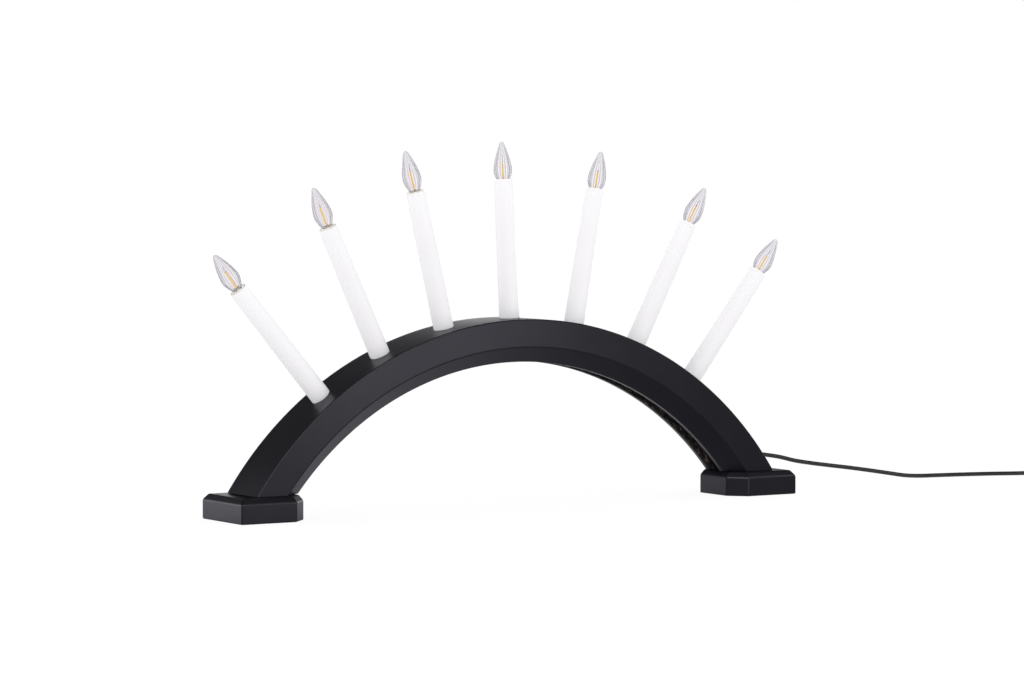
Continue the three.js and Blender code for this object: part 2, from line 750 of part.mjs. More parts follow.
// Centreline of the coil, clockwise from above: every layer spirals in or out, and each
// half turn between two layers climbs, bulging clear of the turns beside it
function coilLine() {
  const { heading, start, centre, outerR, startAngle } = coilFrame();
  const innerR = outerR - COIL_TURNS * coilStep;
  const period = COIL_TURNS + COIL_CLIMB;
  const turns = COIL_LAYERS * period - COIL_CLIMB;
  const count = Math.round(turns * COIL_STEPS);
  const line = [
    start.clone().addScaledVector(heading, -CORD_D).setZ(coilBaseZ),
    start.clone().setZ(coilBaseZ),
  ];
  for (let k = 1; k <= count; k += 1) {
    const turn = (k / count) * turns;
    const layer = Math.min(COIL_LAYERS - 1, Math.floor(turn / period));
    const along = turn - layer * period;
    const inward = layer % 2 === 0;
    const wound = Math.min(along, COIL_TURNS) * coilStep;
    const climb = Math.max(0, along - COIL_TURNS) / COIL_CLIMB;
    const bulge = COIL_BULGE * Math.sin(climb * Math.PI);
    const radius = inward ? outerR - wound - bulge : innerR + wound + bulge;
    const angle = startAngle - turn * 2 * Math.PI;
    const rise = (1 - Math.cos(climb * Math.PI)) / 2;
    const point = new THREE.Vector3(radius * Math.cos(angle), radius * Math.sin(angle), 0);
    line.push(point.add(centre).setZ(coilBaseZ + (layer + rise) * coilStep));
  }
  const topZ = line[line.length - 1].z;
  const leave = line[line.length - 1].clone();
  const endAngle = startAngle - turns * 2 * Math.PI;
  const away = new THREE.Vector3(Math.sin(endAngle), -Math.cos(endAngle), 0);
  for (let k = 1; k <= TAIL_STEPS; k += 1) {
    const along = (k / TAIL_STEPS) * (TAIL_LEVEL + TAIL_DROP);
    const fall = Math.max(0, along - TAIL_LEVEL) / TAIL_DROP;
    const drop = (topZ - PLUG_THICK / 2) * (1 - Math.cos(fall * Math.PI)) / 2;
    line.push(leave.clone().addScaledVector(away, along).setZ(topZ - drop));
  }
  const end = line[line.length - 1].clone().addScaledVector(away, CORD_D);
  line.push(end);
  return { line, end, away };
}

// Least distance between the surfaces of stretches of a lead that aren't neighbours on it
function leastGap(line, diameter) {
  const dense = line.flatMap((point, i) => (i ? [point.clone().lerp(line[i - 1], 0.5), point] : [point]));
  let least = Infinity;
  for (let i = 0; i < dense.length; i += 1) {
    for (let k = i + COIL_STEPS; k < dense.length; k += 1) {
      least = Math.min(least, dense[i].distanceTo(dense[k]) - diameter);
    }
  }
  return least;
}

// Tie: a flat band closed round all the turns of the coil, on the side away from the lead
function tieMesh() {
  const { centre, outerR, startAngle } = coilFrame();
  const innerR = outerR - COIL_TURNS * coilStep;
  const slack = COIL_BULGE + CORD_D / 2 + FIT;
  const [near, far] = [innerR - slack, outerR + slack];
  const top = coilBaseZ + (COIL_LAYERS - 1) * coilStep + CORD_D / 2 + FIT;
  const rectangle = (path, x0, y0, x1, y1) => {
    path.moveTo(x0, y0);
    path.lineTo(x1, y0);
    path.lineTo(x1, y1);
    path.lineTo(x0, y1);
    path.closePath();
    return path;
  };
  const band = rectangle(new THREE.Shape(), near - TIE_THICK, 0, far + TIE_THICK, top + TIE_THICK);
  band.holes.push(rectangle(new THREE.Path(), near, TIE_THICK, far, top));
  const geometry = new THREE.ExtrudeGeometry(band, { depth: TIE_WIDTH, bevelEnabled: false });
  const mesh = piece('cord_tie', weld(geometry.translate(0, 0, -TIE_WIDTH / 2)), LEAD_BLACK);
  mesh.position.set(centre.x, centre.y, 0);
  mesh.rotation.set(Math.PI / 2, 0, startAngle + Math.PI, 'ZYX');
  return mesh;
}

// Plug: a flat moulded body with a cable neck and two round pins, lying on its broad side
function plugSolid() {
  const [halfW, gripW, neckW] = [PLUG_WIDTH / 2, PLUG_GRIP_W / 2, PLUG_NECK_W / 2];
  const shape = new THREE.Shape();
  shape.moveTo(0, -neckW);
  shape.lineTo(PLUG_NECK, -neckW);
  shape.quadraticCurveTo(PLUG_NECK + PLUG_SHOULDER, -gripW, PLUG_LENGTH - PLUG_FACE, -gripW);
  shape.lineTo(PLUG_LENGTH - PLUG_FACE / 2, -halfW);
  shape.lineTo(PLUG_LENGTH, -halfW);
  shape.lineTo(PLUG_LENGTH, halfW);
  shape.lineTo(PLUG_LENGTH - PLUG_FACE / 2, halfW);
  shape.lineTo(PLUG_LENGTH - PLUG_FACE, gripW);
  shape.quadraticCurveTo(PLUG_NECK + PLUG_SHOULDER, gripW, PLUG_NECK, neckW);
  shape.lineTo(0, neckW);
  shape.closePath();
  const body = new THREE.ExtrudeGeometry(shape, {
    depth: PLUG_THICK - 2 * PLUG_EDGE,
    curveSegments: PLUG_CURVE_STEPS,
    bevelThickness: PLUG_EDGE,
    bevelSize: PLUG_EDGE,
    bevelOffset: -PLUG_EDGE,
    bevelSegments: 1,
  }).translate(0, 0, PLUG_EDGE - PLUG_THICK / 2);
  let plug = toManifold(weld(body));
  const pinR = PIN_D / 2;
  const pin = revolve(
    [
      [0, PLUG_LENGTH - PLUG_EDGE],
      [pinR, PLUG_LENGTH - PLUG_EDGE],
      [pinR, PLUG_LENGTH + PIN_LENGTH - pinR],
      [pinR / 2, PLUG_LENGTH + PIN_LENGTH],
      [0, PLUG_LENGTH + PIN_LENGTH],
    ],
    TURNED_SIDES,
  ).rotateY(Math.PI / 2);
  for (const sign of [-1, 1]) {
    plug = plug.add(toManifold(pin.clone().translate(0, (sign * PIN_SPACING) / 2, 0)));
  }
  return fromManifold(plug);
}

function buildModel() {
  const model = new THREE.Group();
  const candles = STANCE.map((_, i) => candleGroup(i));
  const lamps = STANCE.map((_, i) => lampGroup(i));
  candles.forEach((candle, i) => {
    candle.add(piece(`candle_tube_${i + 1}`, tubeSolid(), IVORY_WHITE), lamps[i]);
    lamps[i].add(
      piece(`lamp_holder_${i + 1}`, holderSolid(), HOLDER_WHITE),
      piece(`lamp_contact_${i + 1}`, contactSolid(), BRASS),
      piece(`lamp_cap_${i + 1}`, capSolid(), NICKEL),
      piece(`lamp_glass_${i + 1}`, glassSolid(), CLEAR_GLASS),
      piece(`lamp_filament_${i + 1}`, filamentSolid(), WARM_PHOSPHOR),
    );
    model.add(candle);
  });
  model.updateMatrixWorld(true);

  model.add(piece('arch', archSolid(candles), SATIN_BLACK));
  for (const [side, sign] of [['left', -1], ['right', 1]]) {
    const screw = piece(`foot_screw_${side}`, screwSolid(), ZINC);
    screw.position.x = sign * screwX;
    model.add(piece(`foot_${side}`, footSolid(sign), SATIN_BLACK), screw);
  }
  model.add(...wires(candles, lamps));

  const relief = piece('strain_relief', reliefSolid(), LEAD_BLACK);
  relief.position.set(exitX, reliefStartY, exitZ);
  relief.rotation.x = -Math.PI / 2;
  const { line, end, away } = coilLine();
  console.log(`least gap in the coil: ${leastGap(line, CORD_D).toFixed(2)} mm`);
  const plug = piece('plug', plugSolid(), LEAD_BLACK);
  plug.position.copy(end).addScaledVector(away, FIT);
  plug.rotation.z = Math.atan2(away.y, away.x);
  model.add(
    relief,
    piece('cord', cordSolid(), LEAD_BLACK),
    piece('cord_coil', tubeAlong(line, CORD_D, COIL_SIDES), LEAD_BLACK),
    tieMesh(),
    plug,
  );
  return model;
}

export default buildModel();
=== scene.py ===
import math

import bmesh
import bpy
from mathutils import Matrix, Vector


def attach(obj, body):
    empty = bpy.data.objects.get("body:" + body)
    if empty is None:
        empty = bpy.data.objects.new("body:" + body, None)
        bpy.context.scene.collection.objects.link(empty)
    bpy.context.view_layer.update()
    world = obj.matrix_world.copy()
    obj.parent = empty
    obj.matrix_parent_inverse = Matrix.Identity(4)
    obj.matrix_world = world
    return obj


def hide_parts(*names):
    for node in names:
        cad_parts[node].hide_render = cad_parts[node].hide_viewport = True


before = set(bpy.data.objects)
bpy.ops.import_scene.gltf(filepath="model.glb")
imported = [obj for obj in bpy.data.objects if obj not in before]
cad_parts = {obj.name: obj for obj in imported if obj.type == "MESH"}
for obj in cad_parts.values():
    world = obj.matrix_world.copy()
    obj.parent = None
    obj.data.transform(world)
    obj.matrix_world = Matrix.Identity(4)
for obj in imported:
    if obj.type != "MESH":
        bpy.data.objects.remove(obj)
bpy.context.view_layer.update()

# Electric candle arch. Sizes are in millimetres, as in the part's source, and the meshes in metres.
MM = 0.001
FIT = 0.3

# Arch and feet
ARCH_OUTER_R = 295.99
ARCH_INNER_R = 260.99
ARCH_CENTRE_Z = -143.19
ARCH_HALF = 24.75
ARCH_CHAMFER = 12.5
ARCH_EDGE_R = 1.0
CHAMFER_EDGE_R = 1.8
LIP_EDGE_R = 0.9
ARCH_SWEEP_DEG = 58.5
ARCH_STEPS = 234
GROOVE_HALF = 8.0
GROOVE_ROOF_R = 280.99
GROOVE_EDGE_R = 0.4
GROOVE_CORNER_R = 0.6
ROOF_THICK = 15.0
FOOT_FAR = 264.7
FOOT_LENGTH = 62.5
FOOT_HALF = 32.5
FOOT_HEIGHT = 20.0
FOOT_CORNER = 13.6
FOOT_BEVEL_DROP = 4.4
FOOT_BEVEL_IN = 3.5
FOOT_EDGE_R = 1.1
SCREW_X = 234.2
SCREW_R = 1.75
SCREW_HEAD_R = 3.5
SCREW_HEAD_H = 2.2
SCREW_SINK = 1.0
SCREW_LENGTH = 30.0
SCREW_POINT = 4.0
CROSS_HALF_LONG = 1.9
CROSS_HALF_WIDE = 0.4
CROSS_DEPTH = 1.2

# Candles, numbered from the left: lean to the side and to the back, lamp's rise and own tilt
PITCH_DEG = 12.15
STANCE = [
    (-4.0, 0.6, 4.8, 2.5),
    (-1.5, -1.3, 4.8, 2.5),
    (-2.0, -0.8, 4.8, -2.5),
    (-2.2, 1.4, 0.8, 0.0),
    (-1.5, 0.0, 1.6, 0.0),
    (1.6, -3.5, 3.7, 2.4),
    (-1.0, -4.5, 2.9, -2.2),
]
SEAT_DEPTH = 0.9
BASE_Z = FIT - SEAT_DEPTH
MOUTH_Z = BASE_Z + 113.6
TUBE_BASE_R = 8.3
TUBE_TOP_R = 7.4
TUBE_WALL = 0.9
TUBE_FLOOR = 2.0
TUBE_MARK_BELOW_MOUTH = 2.6
SPIGOT_R = 5.6
SPIGOT_BORE_R = 4.7
SPIGOT_Z = BASE_Z + 3.0 - ROOF_THICK
LAMP_SEAT = 4.843

# Lamp, from its neck
CAP_R = 4.7
CAP_SHELL = 8.8
CAP_TIP_Z = -11.6
CAP_CUP = 3.2
CAP_WALL = 0.5
THREAD_PITCH = 1.814
THREAD_DEPTH = 0.36
NECK_R = 3.9
BELLY_R = 7.6
BELLY_Z = 11.5
GLASS_Z = 34.0
GLASS_TIP_R = 1.6
GLASS_TAPER = 1.5
GLASS_WALL = 0.7
FLUTES = 10
FLUTE_DEPTH = 0.45
FLUTE_TURN = math.radians(237.7)
FILAMENT_R = 0.75
FILAMENT_FROM = 2.0
FILAMENT_TO = 17.3
FILAMENT_WIRE_R = 0.22
BEAD_R = 1.6
HOLDER_RIM = 0.9
HOLDER_WALL = 0.6
HOLDER_COLLAR = 2.0
HOLDER_COLLAR_STEP = 0.5
HOLDER_HOLE_R = 1.2
HOLDER_FLOOR_Z = -12.8
HOLDER_BOTTOM_Z = -14.8
CONTACT_FOOT_R = 1.9
CONTACT_STEM_R = 0.9
CONTACT_HEAD_R = 2.3
CONTACT_TOP_R = 1.5
CONTACT_PLATE = 0.6

# Wires in the groove
WIRE_R = 0.7
WIRE_SPREAD = 3.6
WIRE_PINCH = 2.4
WIRE_BEND = 4.0
WIRE_DROP = 2.5
WIRE_STEP_DEG = 4.0
WIRE_RUN_R = GROOVE_ROOF_R - WIRE_DROP
LINK_Y = -3.0
RETURN_Y = 4.5

# Lead
EXIT = (214.34, 37.05, 34.0)
EXIT_ANGLE = math.atan2(EXIT[0], EXIT[2] - ARCH_CENTRE_Z)
RELIEF_HOLE_R = 2.6
EXIT_R = GROOVE_ROOF_R - RELIEF_HOLE_R - FIT
RELIEF_START_Y = 7.5
RELIEF_SHANK = 17.55
RELIEF_SHANK_R = 2.3
RELIEF_FLANGE = 1.5
RELIEF_FLANGE_R = 4.2
RELIEF_NOSE = 10.5
RELIEF_NOSE_R = 3.4
RELIEF_END_R = 2.5
RELIEF_RIBS = 4
RELIEF_RIB_FROM = 1.6
RELIEF_RIB_PITCH = 2.2
RELIEF_RIB_DEPTH = 0.6
CORD_R = 1.8
CORD_IN_PLUG = 4.0
CORD_ROUTE = [
    (214.34, 35.5, 34.0), (214.6, 41.5, 34.0), (215.6, 45.2, 33.9), (218.5, 49.5, 33.8),
    (223.2, 52.8, 33.5), (230.0, 54.5, 33.0), (242.0, 54.8, 32.0), (258.0, 54.3, 30.4),
    (276.0, 53.3, 28.4), (294.4, 52.0, 26.0), (308.5, 50.8, 23.6), (322.5, 49.6, 20.2),
    (338.7, 48.2, 17.4), (359.0, 46.5, 14.5), (379.4, 44.7, 11.7), (400.0, 43.0, 8.6),
    (420.6, 41.3, 5.3), (436.2, 40.0, 2.9), (450.0, 38.4, 2.0), (466.0, 35.9, 1.9),
    (485.0, 32.4, 1.9), (504.0, 28.0, 1.9), (522.0, 22.6, 1.9), (539.5, 15.6, 1.9),
    (556.0, 6.4, 2.3), (572.0, -5.2, 2.8), (583.5, -14.2, 2.9),
]
COIL_MEAN_D = 43.2
COIL_LAYERS = 4
COIL_TURNS = 2.125
COIL_CLIMB = 0.5
COIL_STEP = 4.2
COIL_BULGE = 1.2
COIL_STEPS = 24
COIL_BASE_Z = 2.9
TAIL_LEVEL = 17.0
TAIL_DROP = 25.0
TAIL_STEPS = 8
TIE_THICK = 0.8
TIE_WIDTH = 7.0
TIE_BEND_R = 1.8
TIE_EDGE_R = 0.25
PLUG_THICK = 13.7
PLUG_LENGTH = 36.0
PLUG_HALF = 17.65
PLUG_GRIP_HALF = 12.0
PLUG_NECK_HALF = 4.5
PLUG_NECK = 9.0
PLUG_SHOULDER = 2.0
PLUG_FACE = 14.0
PLUG_CURVE_STEPS = 8
PLUG_EDGE_R = 2.0
PIN_SPACING = 18.6
PIN_R = 2.0
PIN_LENGTH = 19.0
PIN_SLEEVE = 10.0
PIN_SLEEVE_R = 1.85
PIN_ROOT = 2.0

# Camera, from the lines of the arch and feet
CAMERA_AT = (-1769.566, -2806.755, 302.116)
CAMERA_RIGHT = (0.8455961, -0.5338225, 0.0008662)
CAMERA_UP = (0.0263116, 0.0432993, 0.9987156)
CAMERA_LENS = 143.877

scene = bpy.context.scene


def link(obj):
    scene.collection.objects.link(obj)
    return obj


def make_camera():
    data = bpy.data.cameras.new("camera")
    data.sensor_fit = "HORIZONTAL"
    data.sensor_width = 36.0
    data.lens = CAMERA_LENS
    data.clip_start = 0.05
    data.clip_end = 60.0
    right, up = Vector(CAMERA_RIGHT), Vector(CAMERA_UP)
    back = right.cross(up)
    turn = Matrix((right, up, back)).transposed().to_4x4()
    camera = link(bpy.data.objects.new("camera", data))
    camera.matrix_world = Matrix.Translation(Vector(CAMERA_AT) * MM) @ turn
    scene.camera = camera


def coil_points():
    """Centreline of the coil and its tail, and the frame that the tie and plug need."""
    before, start = (Vector((x, y, 0)) for x, y, _ in CORD_ROUTE[-2:])
    heading = (start - before).normalized()
    start = start + heading * (FIT + 2 * CORD_R)
    outer = (COIL_MEAN_D + COIL_TURNS * COIL_STEP) / 2
    inner = outer - COIL_TURNS * COIL_STEP
    right = Vector((heading.y, -heading.x, 0))
    centre = start + right * outer
    start_angle = math.atan2(-right.y, -right.x)
    period = COIL_TURNS + COIL_CLIMB
    turns = COIL_LAYERS * period - COIL_CLIMB
    count = round(turns * COIL_STEPS)
    line = [Vector((start.x, start.y, COIL_BASE_Z))]
    for k in range(1, count + 1):
        turn = k / count * turns
        layer = min(COIL_LAYERS - 1, int(turn / period))
        along = turn - layer * period
        wound = min(along, COIL_TURNS) * COIL_STEP
        climb = max(0.0, along - COIL_TURNS) / COIL_CLIMB
        bulge = COIL_BULGE * math.sin(climb * math.pi)
        radius = outer - wound - bulge if layer % 2 == 0 else inner + wound + bulge
        angle = start_angle - turn * 2 * math.pi
        z = COIL_BASE_Z + (layer + (1 - math.cos(climb * math.pi)) / 2) * COIL_STEP
        line.append(Vector((centre.x + radius * math.cos(angle), centre.y + radius * math.sin(angle), z)))
    end_angle = start_angle - turns * 2 * math.pi
    away = Vector((math.sin(end_angle), -math.cos(end_angle), 0))
    leave = line[-1].copy()
    for k in range(1, TAIL_STEPS + 1):
        along = k / TAIL_STEPS * (TAIL_LEVEL + TAIL_DROP)
        fall = max(0.0, along - TAIL_LEVEL) / TAIL_DROP
        drop = (leave.z - PLUG_THICK / 2) * (1 - math.cos(fall * math.pi)) / 2
        line.append(leave + away * along - Vector((0, 0, drop)))
    end = line[-1] + away * (2 * CORD_R)
    line.append(end)
    return line, {
        "centre": centre, "outer": outer, "inner": inner, "angle": start_angle, "end": end, "away": away,
    }


def make_cord():
    line, coil = coil_points()
    points = [Vector(p) for p in CORD_ROUTE] + line + [coil["end"] + coil["away"] * CORD_IN_PLUG]
    data = bpy.data.curves.new("lead", "CURVE")
    data.dimensions = "3D"
    data.bevel_depth = CORD_R * MM
    data.bevel_resolution = 5
    data.resolution_u = 5
    data.use_fill_caps = True
    spline = data.splines.new("BEZIER")
    spline.bezier_points.add(len(points) - 1)
    for knot, point in zip(spline.bezier_points, points):
        knot.co = point * MM
        knot.handle_left_type = knot.handle_right_type = "AUTO"
    return link(bpy.data.objects.new("lead", data)), coil


make_camera()
lead, coil = make_cord()


# Mesh helpers
SMOOTH_DEG = 35.0


def mesh_object(name, verts, faces, smooth_deg=SMOOTH_DEG):
    mesh = bpy.data.meshes.new(name)
    mesh.from_pydata([tuple(v) for v in verts], [], faces)
    mesh.validate()
    obj = link(bpy.data.objects.new(name, mesh))
    tidy_normals(obj, smooth_deg)
    return obj


def tidy_normals(obj, smooth_deg=SMOOTH_DEG):
    made = bmesh.new()
    made.from_mesh(obj.data)
    bmesh.ops.recalc_face_normals(made, faces=made.faces)
    made.to_mesh(obj.data)
    made.free()
    obj.data.shade_smooth()
    obj.data.set_sharp_from_angle(angle=math.radians(smooth_deg))


def rounded(points, radii, steps=4, closed=True):
    """The corners of a flat outline, each drawn round by its own radius."""
    out = []
    count = len(points)
    for i, (point, radius) in enumerate(zip(points, radii)):
        p = Vector(point)
        if radius <= 0 or (not closed and i in (0, count - 1)):
            out.append(tuple(p))
            continue
        a = (Vector(points[i - 1]) - p).normalized()
        b = (Vector(points[(i + 1) % count]) - p).normalized()
        half = a.angle(b) / 2
        middle = p + (a + b).normalized() * (radius / math.sin(half))
        first = p + a * (radius / math.tan(half)) - middle
        last = p + b * (radius / math.tan(half)) - middle
        spread = first.angle(last)
        for k in range(steps + 1):
            t = k / steps
            w0 = math.sin((1 - t) * spread) / math.sin(spread)
            w1 = math.sin(t * spread) / math.sin(spread)
            out.append(tuple(middle + first * w0 + last * w1))
    return out


def divided(profile, longest):
    """A closed profile with its long straight runs cut into short ones."""
    out = []
    for a, b in zip(profile, profile[1:] + profile[:1]):
        a, b = Vector(a), Vector(b)
        parts = max(1, math.ceil((b - a).length / longest))
        out += [tuple(a.lerp(b, k / parts)) for k in range(parts)]
    return out


def turned(profile, sides, matrix, closed=True, shape=None):
    """Vertices and faces of a profile of (radius, height) turned about Z; shape may change its radius."""
    verts, rings, faces = [], [], []
    for r, z in profile:
        if r < 1e-6:
            rings.append([len(verts)])
            verts.append(matrix @ Vector((0, 0, z)) * MM)
            continue
        ring = []
        for k in range(sides):
            turn = 2 * math.pi * k / sides
            radius = shape(r, z, turn) if shape else r
            ring.append(len(verts))
            verts.append(matrix @ Vector((radius * math.cos(turn), radius * math.sin(turn), z)) * MM)
        rings.append(ring)
    for a, b in zip(rings, rings[1:] + (rings[:1] if closed else [])):
        if len(a) == 1 and len(b) == 1:
            continue
        for k in range(sides):
            j = (k + 1) % sides
            corners = [a[k % len(a)], a[j % len(a)], b[j % len(b)], b[k % len(b)]]
            faces.append(list(dict.fromkeys(corners)))
    return verts, faces


def turned_object(name, profile, sides, matrix, closed=True, shape=None, smooth_deg=SMOOTH_DEG):
    return mesh_object(name, *turned(profile, sides, matrix, closed, shape), smooth_deg)


def strip(count, a, b):
    """Faces between rings a and b, of count vertices each."""
    faces = []
    for k in range(count):
        j = (k + 1) % count
        faces.append([a * count + k, a * count + j, b * count + j, b * count + k])
    return faces


def swept(points, radius, sides):
    """Vertices and faces of a round tube with closed ends along points in millimetres."""
    verts, faces = [], []
    up = Vector((0, 0.2, 1))
    last = len(points) - 1
    for i, point in enumerate(points):
        ahead = (points[min(i + 1, last)] - points[max(i - 1, 0)]).normalized()
        up = (up - ahead * up.dot(ahead)).normalized()
        across = ahead.cross(up)
        for k in range(sides):
            turn = 2 * math.pi * k / sides
            verts.append((point + (up * math.cos(turn) + across * math.sin(turn)) * radius) * MM)
    for i in range(last):
        faces += strip(sides, i, i + 1)
    faces.append(list(range(sides)))
    faces.append([last * sides + k for k in range(sides)])
    return verts, faces


def merged(*parts):
    """One list of vertices and faces from several."""
    verts, faces = [], []
    for part_verts, part_faces in parts:
        base = len(verts)
        verts += part_verts
        faces += [[base + k for k in face] for face in part_faces]
    return verts, faces


def smooth_path(points, steps=5):
    """A smooth line through the points."""
    ends = [points[0] * 2 - points[1], *points, points[-1] * 2 - points[-2]]
    out = []
    for a, b, c, d in zip(ends, ends[1:], ends[2:], ends[3:]):
        for k in range(steps):
            t = k / steps
            out.append(0.5 * (2 * b + (c - a) * t + (2 * a - 5 * b + 4 * c - d) * t ** 2
                              + (3 * b - a - 3 * c + d) * t ** 3))
    out.append(points[-1])
    return out


def apply(obj):
    """Keeps the object's mesh as its modifiers leave it."""
    bpy.context.view_layer.update()
    graph = bpy.context.evaluated_depsgraph_get()
    mesh = bpy.data.meshes.new_from_object(obj.evaluated_get(graph))
    old = obj.data
    obj.modifiers.clear()
    obj.data = mesh
    bpy.data.meshes.remove(old)
    mesh.name = obj.name
    tidy_normals(obj)


def drilled(obj, cutters):
    """Cuts closed, separate solids out of an object."""
    tool = mesh_object(obj.name + "_tool", *merged(*cutters))
    cut = obj.modifiers.new("cut", "BOOLEAN")
    cut.operation = "DIFFERENCE"
    cut.solver = "EXACT"
    cut.object = tool
    apply(obj)
    bpy.data.objects.remove(tool)


def edges_rounded(obj, width, segments=3, angle_deg=20.0):
    soft = obj.modifiers.new("edges", "BEVEL")
    soft.width = width * MM
    soft.segments = segments
    soft.limit_method = "ANGLE"
    soft.angle_limit = math.radians(angle_deg)
    apply(obj)


def flat_faced(obj):
    """Lets flat faces keep their own normal right up to the rounded edges beside them."""
    normals = obj.modifiers.new("normals", "WEIGHTED_NORMAL")
    normals.keep_sharp = True
    normals.weight = 100
    return obj


# Materials. Most of a noise's values lie between these two
NOISE_LOW = 0.3
NOISE_HIGH = 0.7


def add_node(tree, kind):
    return tree.nodes.new("ShaderNode" + kind)


class Paint:
    """A node material with a few shorthands for its procedural inputs."""

    def __init__(self, name, roughness, metallic=0.0):
        self.material = bpy.data.materials.new(name)
        self.material.use_nodes = True
        self.tree = self.material.node_tree
        self.shader = self.tree.nodes["Principled BSDF"]
        self.shader.inputs["Roughness"].default_value = roughness
        self.shader.inputs["Metallic"].default_value = metallic
        coordinates = add_node(self.tree, "TexCoord")
        self.place = coordinates.outputs["Object"]

    def set(self, **values):
        for name, value in values.items():
            self.shader.inputs[name.replace("_", " ")].default_value = value
        return self

    def along(self, attribute):
        """Takes the coordinates from a vector stored on the mesh."""
        node = add_node(self.tree, "Attribute")
        node.attribute_name = attribute
        self.place = node.outputs["Vector"]
        return self

    def stretched(self, scale):
        node = add_node(self.tree, "VectorMath")
        node.operation = "MULTIPLY"
        node.inputs[1].default_value = scale
        self.tree.links.new(self.place, node.inputs[0])
        return node.outputs[0]

    def noise(self, scale, detail=3.0, distortion=0.0, stretch=(1, 1, 1)):
        node = add_node(self.tree, "TexNoise")
        node.inputs["Scale"].default_value = scale
        node.inputs["Detail"].default_value = detail
        node.inputs["Distortion"].default_value = distortion
        self.tree.links.new(self.stretched(stretch), node.inputs["Vector"])
        return node.outputs["Fac"]

    def ramp(self, value, stops):
        node = add_node(self.tree, "ValToRGB")
        marks = node.color_ramp.elements
        while len(marks) < len(stops):
            marks.new(0.5)
        for mark, (at, colour) in zip(marks, stops):
            mark.position = at
            mark.color = (*colour, 1.0)
        self.tree.links.new(value, node.inputs["Fac"])
        return node.outputs["Color"]

    def spread(self, value, low, high):
        node = add_node(self.tree, "MapRange")
        node.inputs["From Min"].default_value = NOISE_LOW
        node.inputs["From Max"].default_value = NOISE_HIGH
        node.inputs["To Min"].default_value = low
        node.inputs["To Max"].default_value = high
        self.tree.links.new(value, node.inputs["Value"])
        return node.outputs["Result"]

    def coloured(self, value, stops):
        self.tree.links.new(self.ramp(value, stops), self.shader.inputs["Base Color"])

    def mottled(self, value, dark, light):
        self.coloured(value, [(NOISE_LOW, dark), (NOISE_HIGH, light)])

    def rough(self, value, low, high):
        self.tree.links.new(self.spread(value, low, high), self.shader.inputs["Roughness"])

    def bumped(self, *layers):
        """Each layer is a height, its strength and its depth in millimetres."""
        normal = None
        for height, strength, depth in layers:
            node = add_node(self.tree, "Bump")
            node.inputs["Strength"].default_value = strength
            node.inputs["Distance"].default_value = depth * MM
            self.tree.links.new(height, node.inputs["Height"])
            if normal:
                self.tree.links.new(normal, node.inputs["Normal"])
            normal = node.outputs["Normal"]
        self.tree.links.new(normal, self.shader.inputs["Normal"])


# Glass tint by how edge-on it is seen, outside and inside: a faint tint of its own face-on, and painted
# shade towards the outlines for the light that the glass bends and reflects there
GLASS_OUTSIDE_TINT_AND_EDGE_SHADE = [
    (0.0, (0.972, 0.964, 0.968)), (0.5, (0.95, 0.94, 0.953)), (0.66, (0.84, 0.83, 0.86)),
    (0.8, (0.62, 0.61, 0.65)), (0.95, (0.45, 0.445, 0.49)),
]
GLASS_INSIDE_TINT_AND_EDGE_SHADE = [(0.0, (0.995, 0.993, 0.994)), (0.55, (0.98, 0.978, 0.983)), (0.9, (0.9, 0.9, 0.91))]
# Painted shade lines along the flutes' ridges and valleys, for the light that the flutes bend
GLASS_FLUTE_SHADE_LINES = [(0.0, (1.0, 1.0, 1.0)), (1.0, (0.83, 0.82, 0.845))]


def black_paint():
    """Satin black paint on wood: sprayed grain, with the wood's own grain faintly under it."""
    m = Paint("black_paint", 0.42).along("grain")
    grain = m.noise(60.0, 4.0, 0.4, (0.06, 1.0, 1.0))
    spray = m.noise(1500.0, 2.0)
    cloud = m.noise(14.0, 3.0)
    m.mottled(cloud, (0.0058, 0.0057, 0.0084), (0.0082, 0.008, 0.0115))
    m.rough(cloud, 0.34, 0.40)
    m.bumped((grain, 0.25, 0.25), (spray, 0.35, 0.06))
    return m.set(Specular_IOR_Level=0.36, Specular_Tint=(0.88, 0.865, 1.0, 1.0)).material


def groove_wood():
    """Sawn wood of the wiring groove, only misted with the black paint, so brown fibres show."""
    m = Paint("groove_wood", 0.7).along("grain")
    fibre = m.noise(420.0, 4.0, 0.6, (0.35, 1.0, 1.0))
    fuzz = m.noise(1300.0, 3.0, 0.0, (0.3, 1.0, 1.0))
    m.coloured(fibre, [
        (0.46, (0.007, 0.0068, 0.0085)), (0.58, (0.06, 0.044, 0.037)), (0.68, (0.22, 0.165, 0.135)),
    ])
    m.rough(fuzz, 0.6, 0.85)
    m.bumped((fibre, 0.6, 0.5), (fuzz, 0.5, 0.2))
    return m.material


def white_plastic():
    """Smooth white candle sleeve, with broad and very faint drawn streaks along it."""
    m = Paint("white_plastic", 0.22).along("grain")
    drawn = m.noise(30.0, 1.0, 0.0, (1.0, 1.0, 0.1))
    cloud = m.noise(20.0, 1.0)
    m.mottled(cloud, (0.937, 0.922, 0.945), (0.952, 0.937, 0.96))
    m.rough(drawn, 0.2, 0.25)
    m.bumped((drawn, 0.1, 0.03))
    return m.set(Specular_IOR_Level=0.05).material


def holder_plastic():
    m = Paint("holder_plastic", 0.5)
    speck = m.noise(900.0, 3.0)
    m.mottled(speck, (0.78, 0.75, 0.69), (0.86, 0.84, 0.79))
    m.rough(speck, 0.42, 0.58)
    m.bumped((speck, 0.3, 0.05))
    return m.material


def metal(name, dark, light, rough_low, rough_high):
    m = Paint(name, 0.3, metallic=1.0)
    brushed = m.noise(1400.0, 3.0, 0.0, (1, 1, 0.05))
    cloud = m.noise(160.0, 3.0)
    m.mottled(cloud, dark, light)
    m.rough(brushed, rough_low, rough_high)
    m.bumped((brushed, 0.15, 0.02))
    return m.material


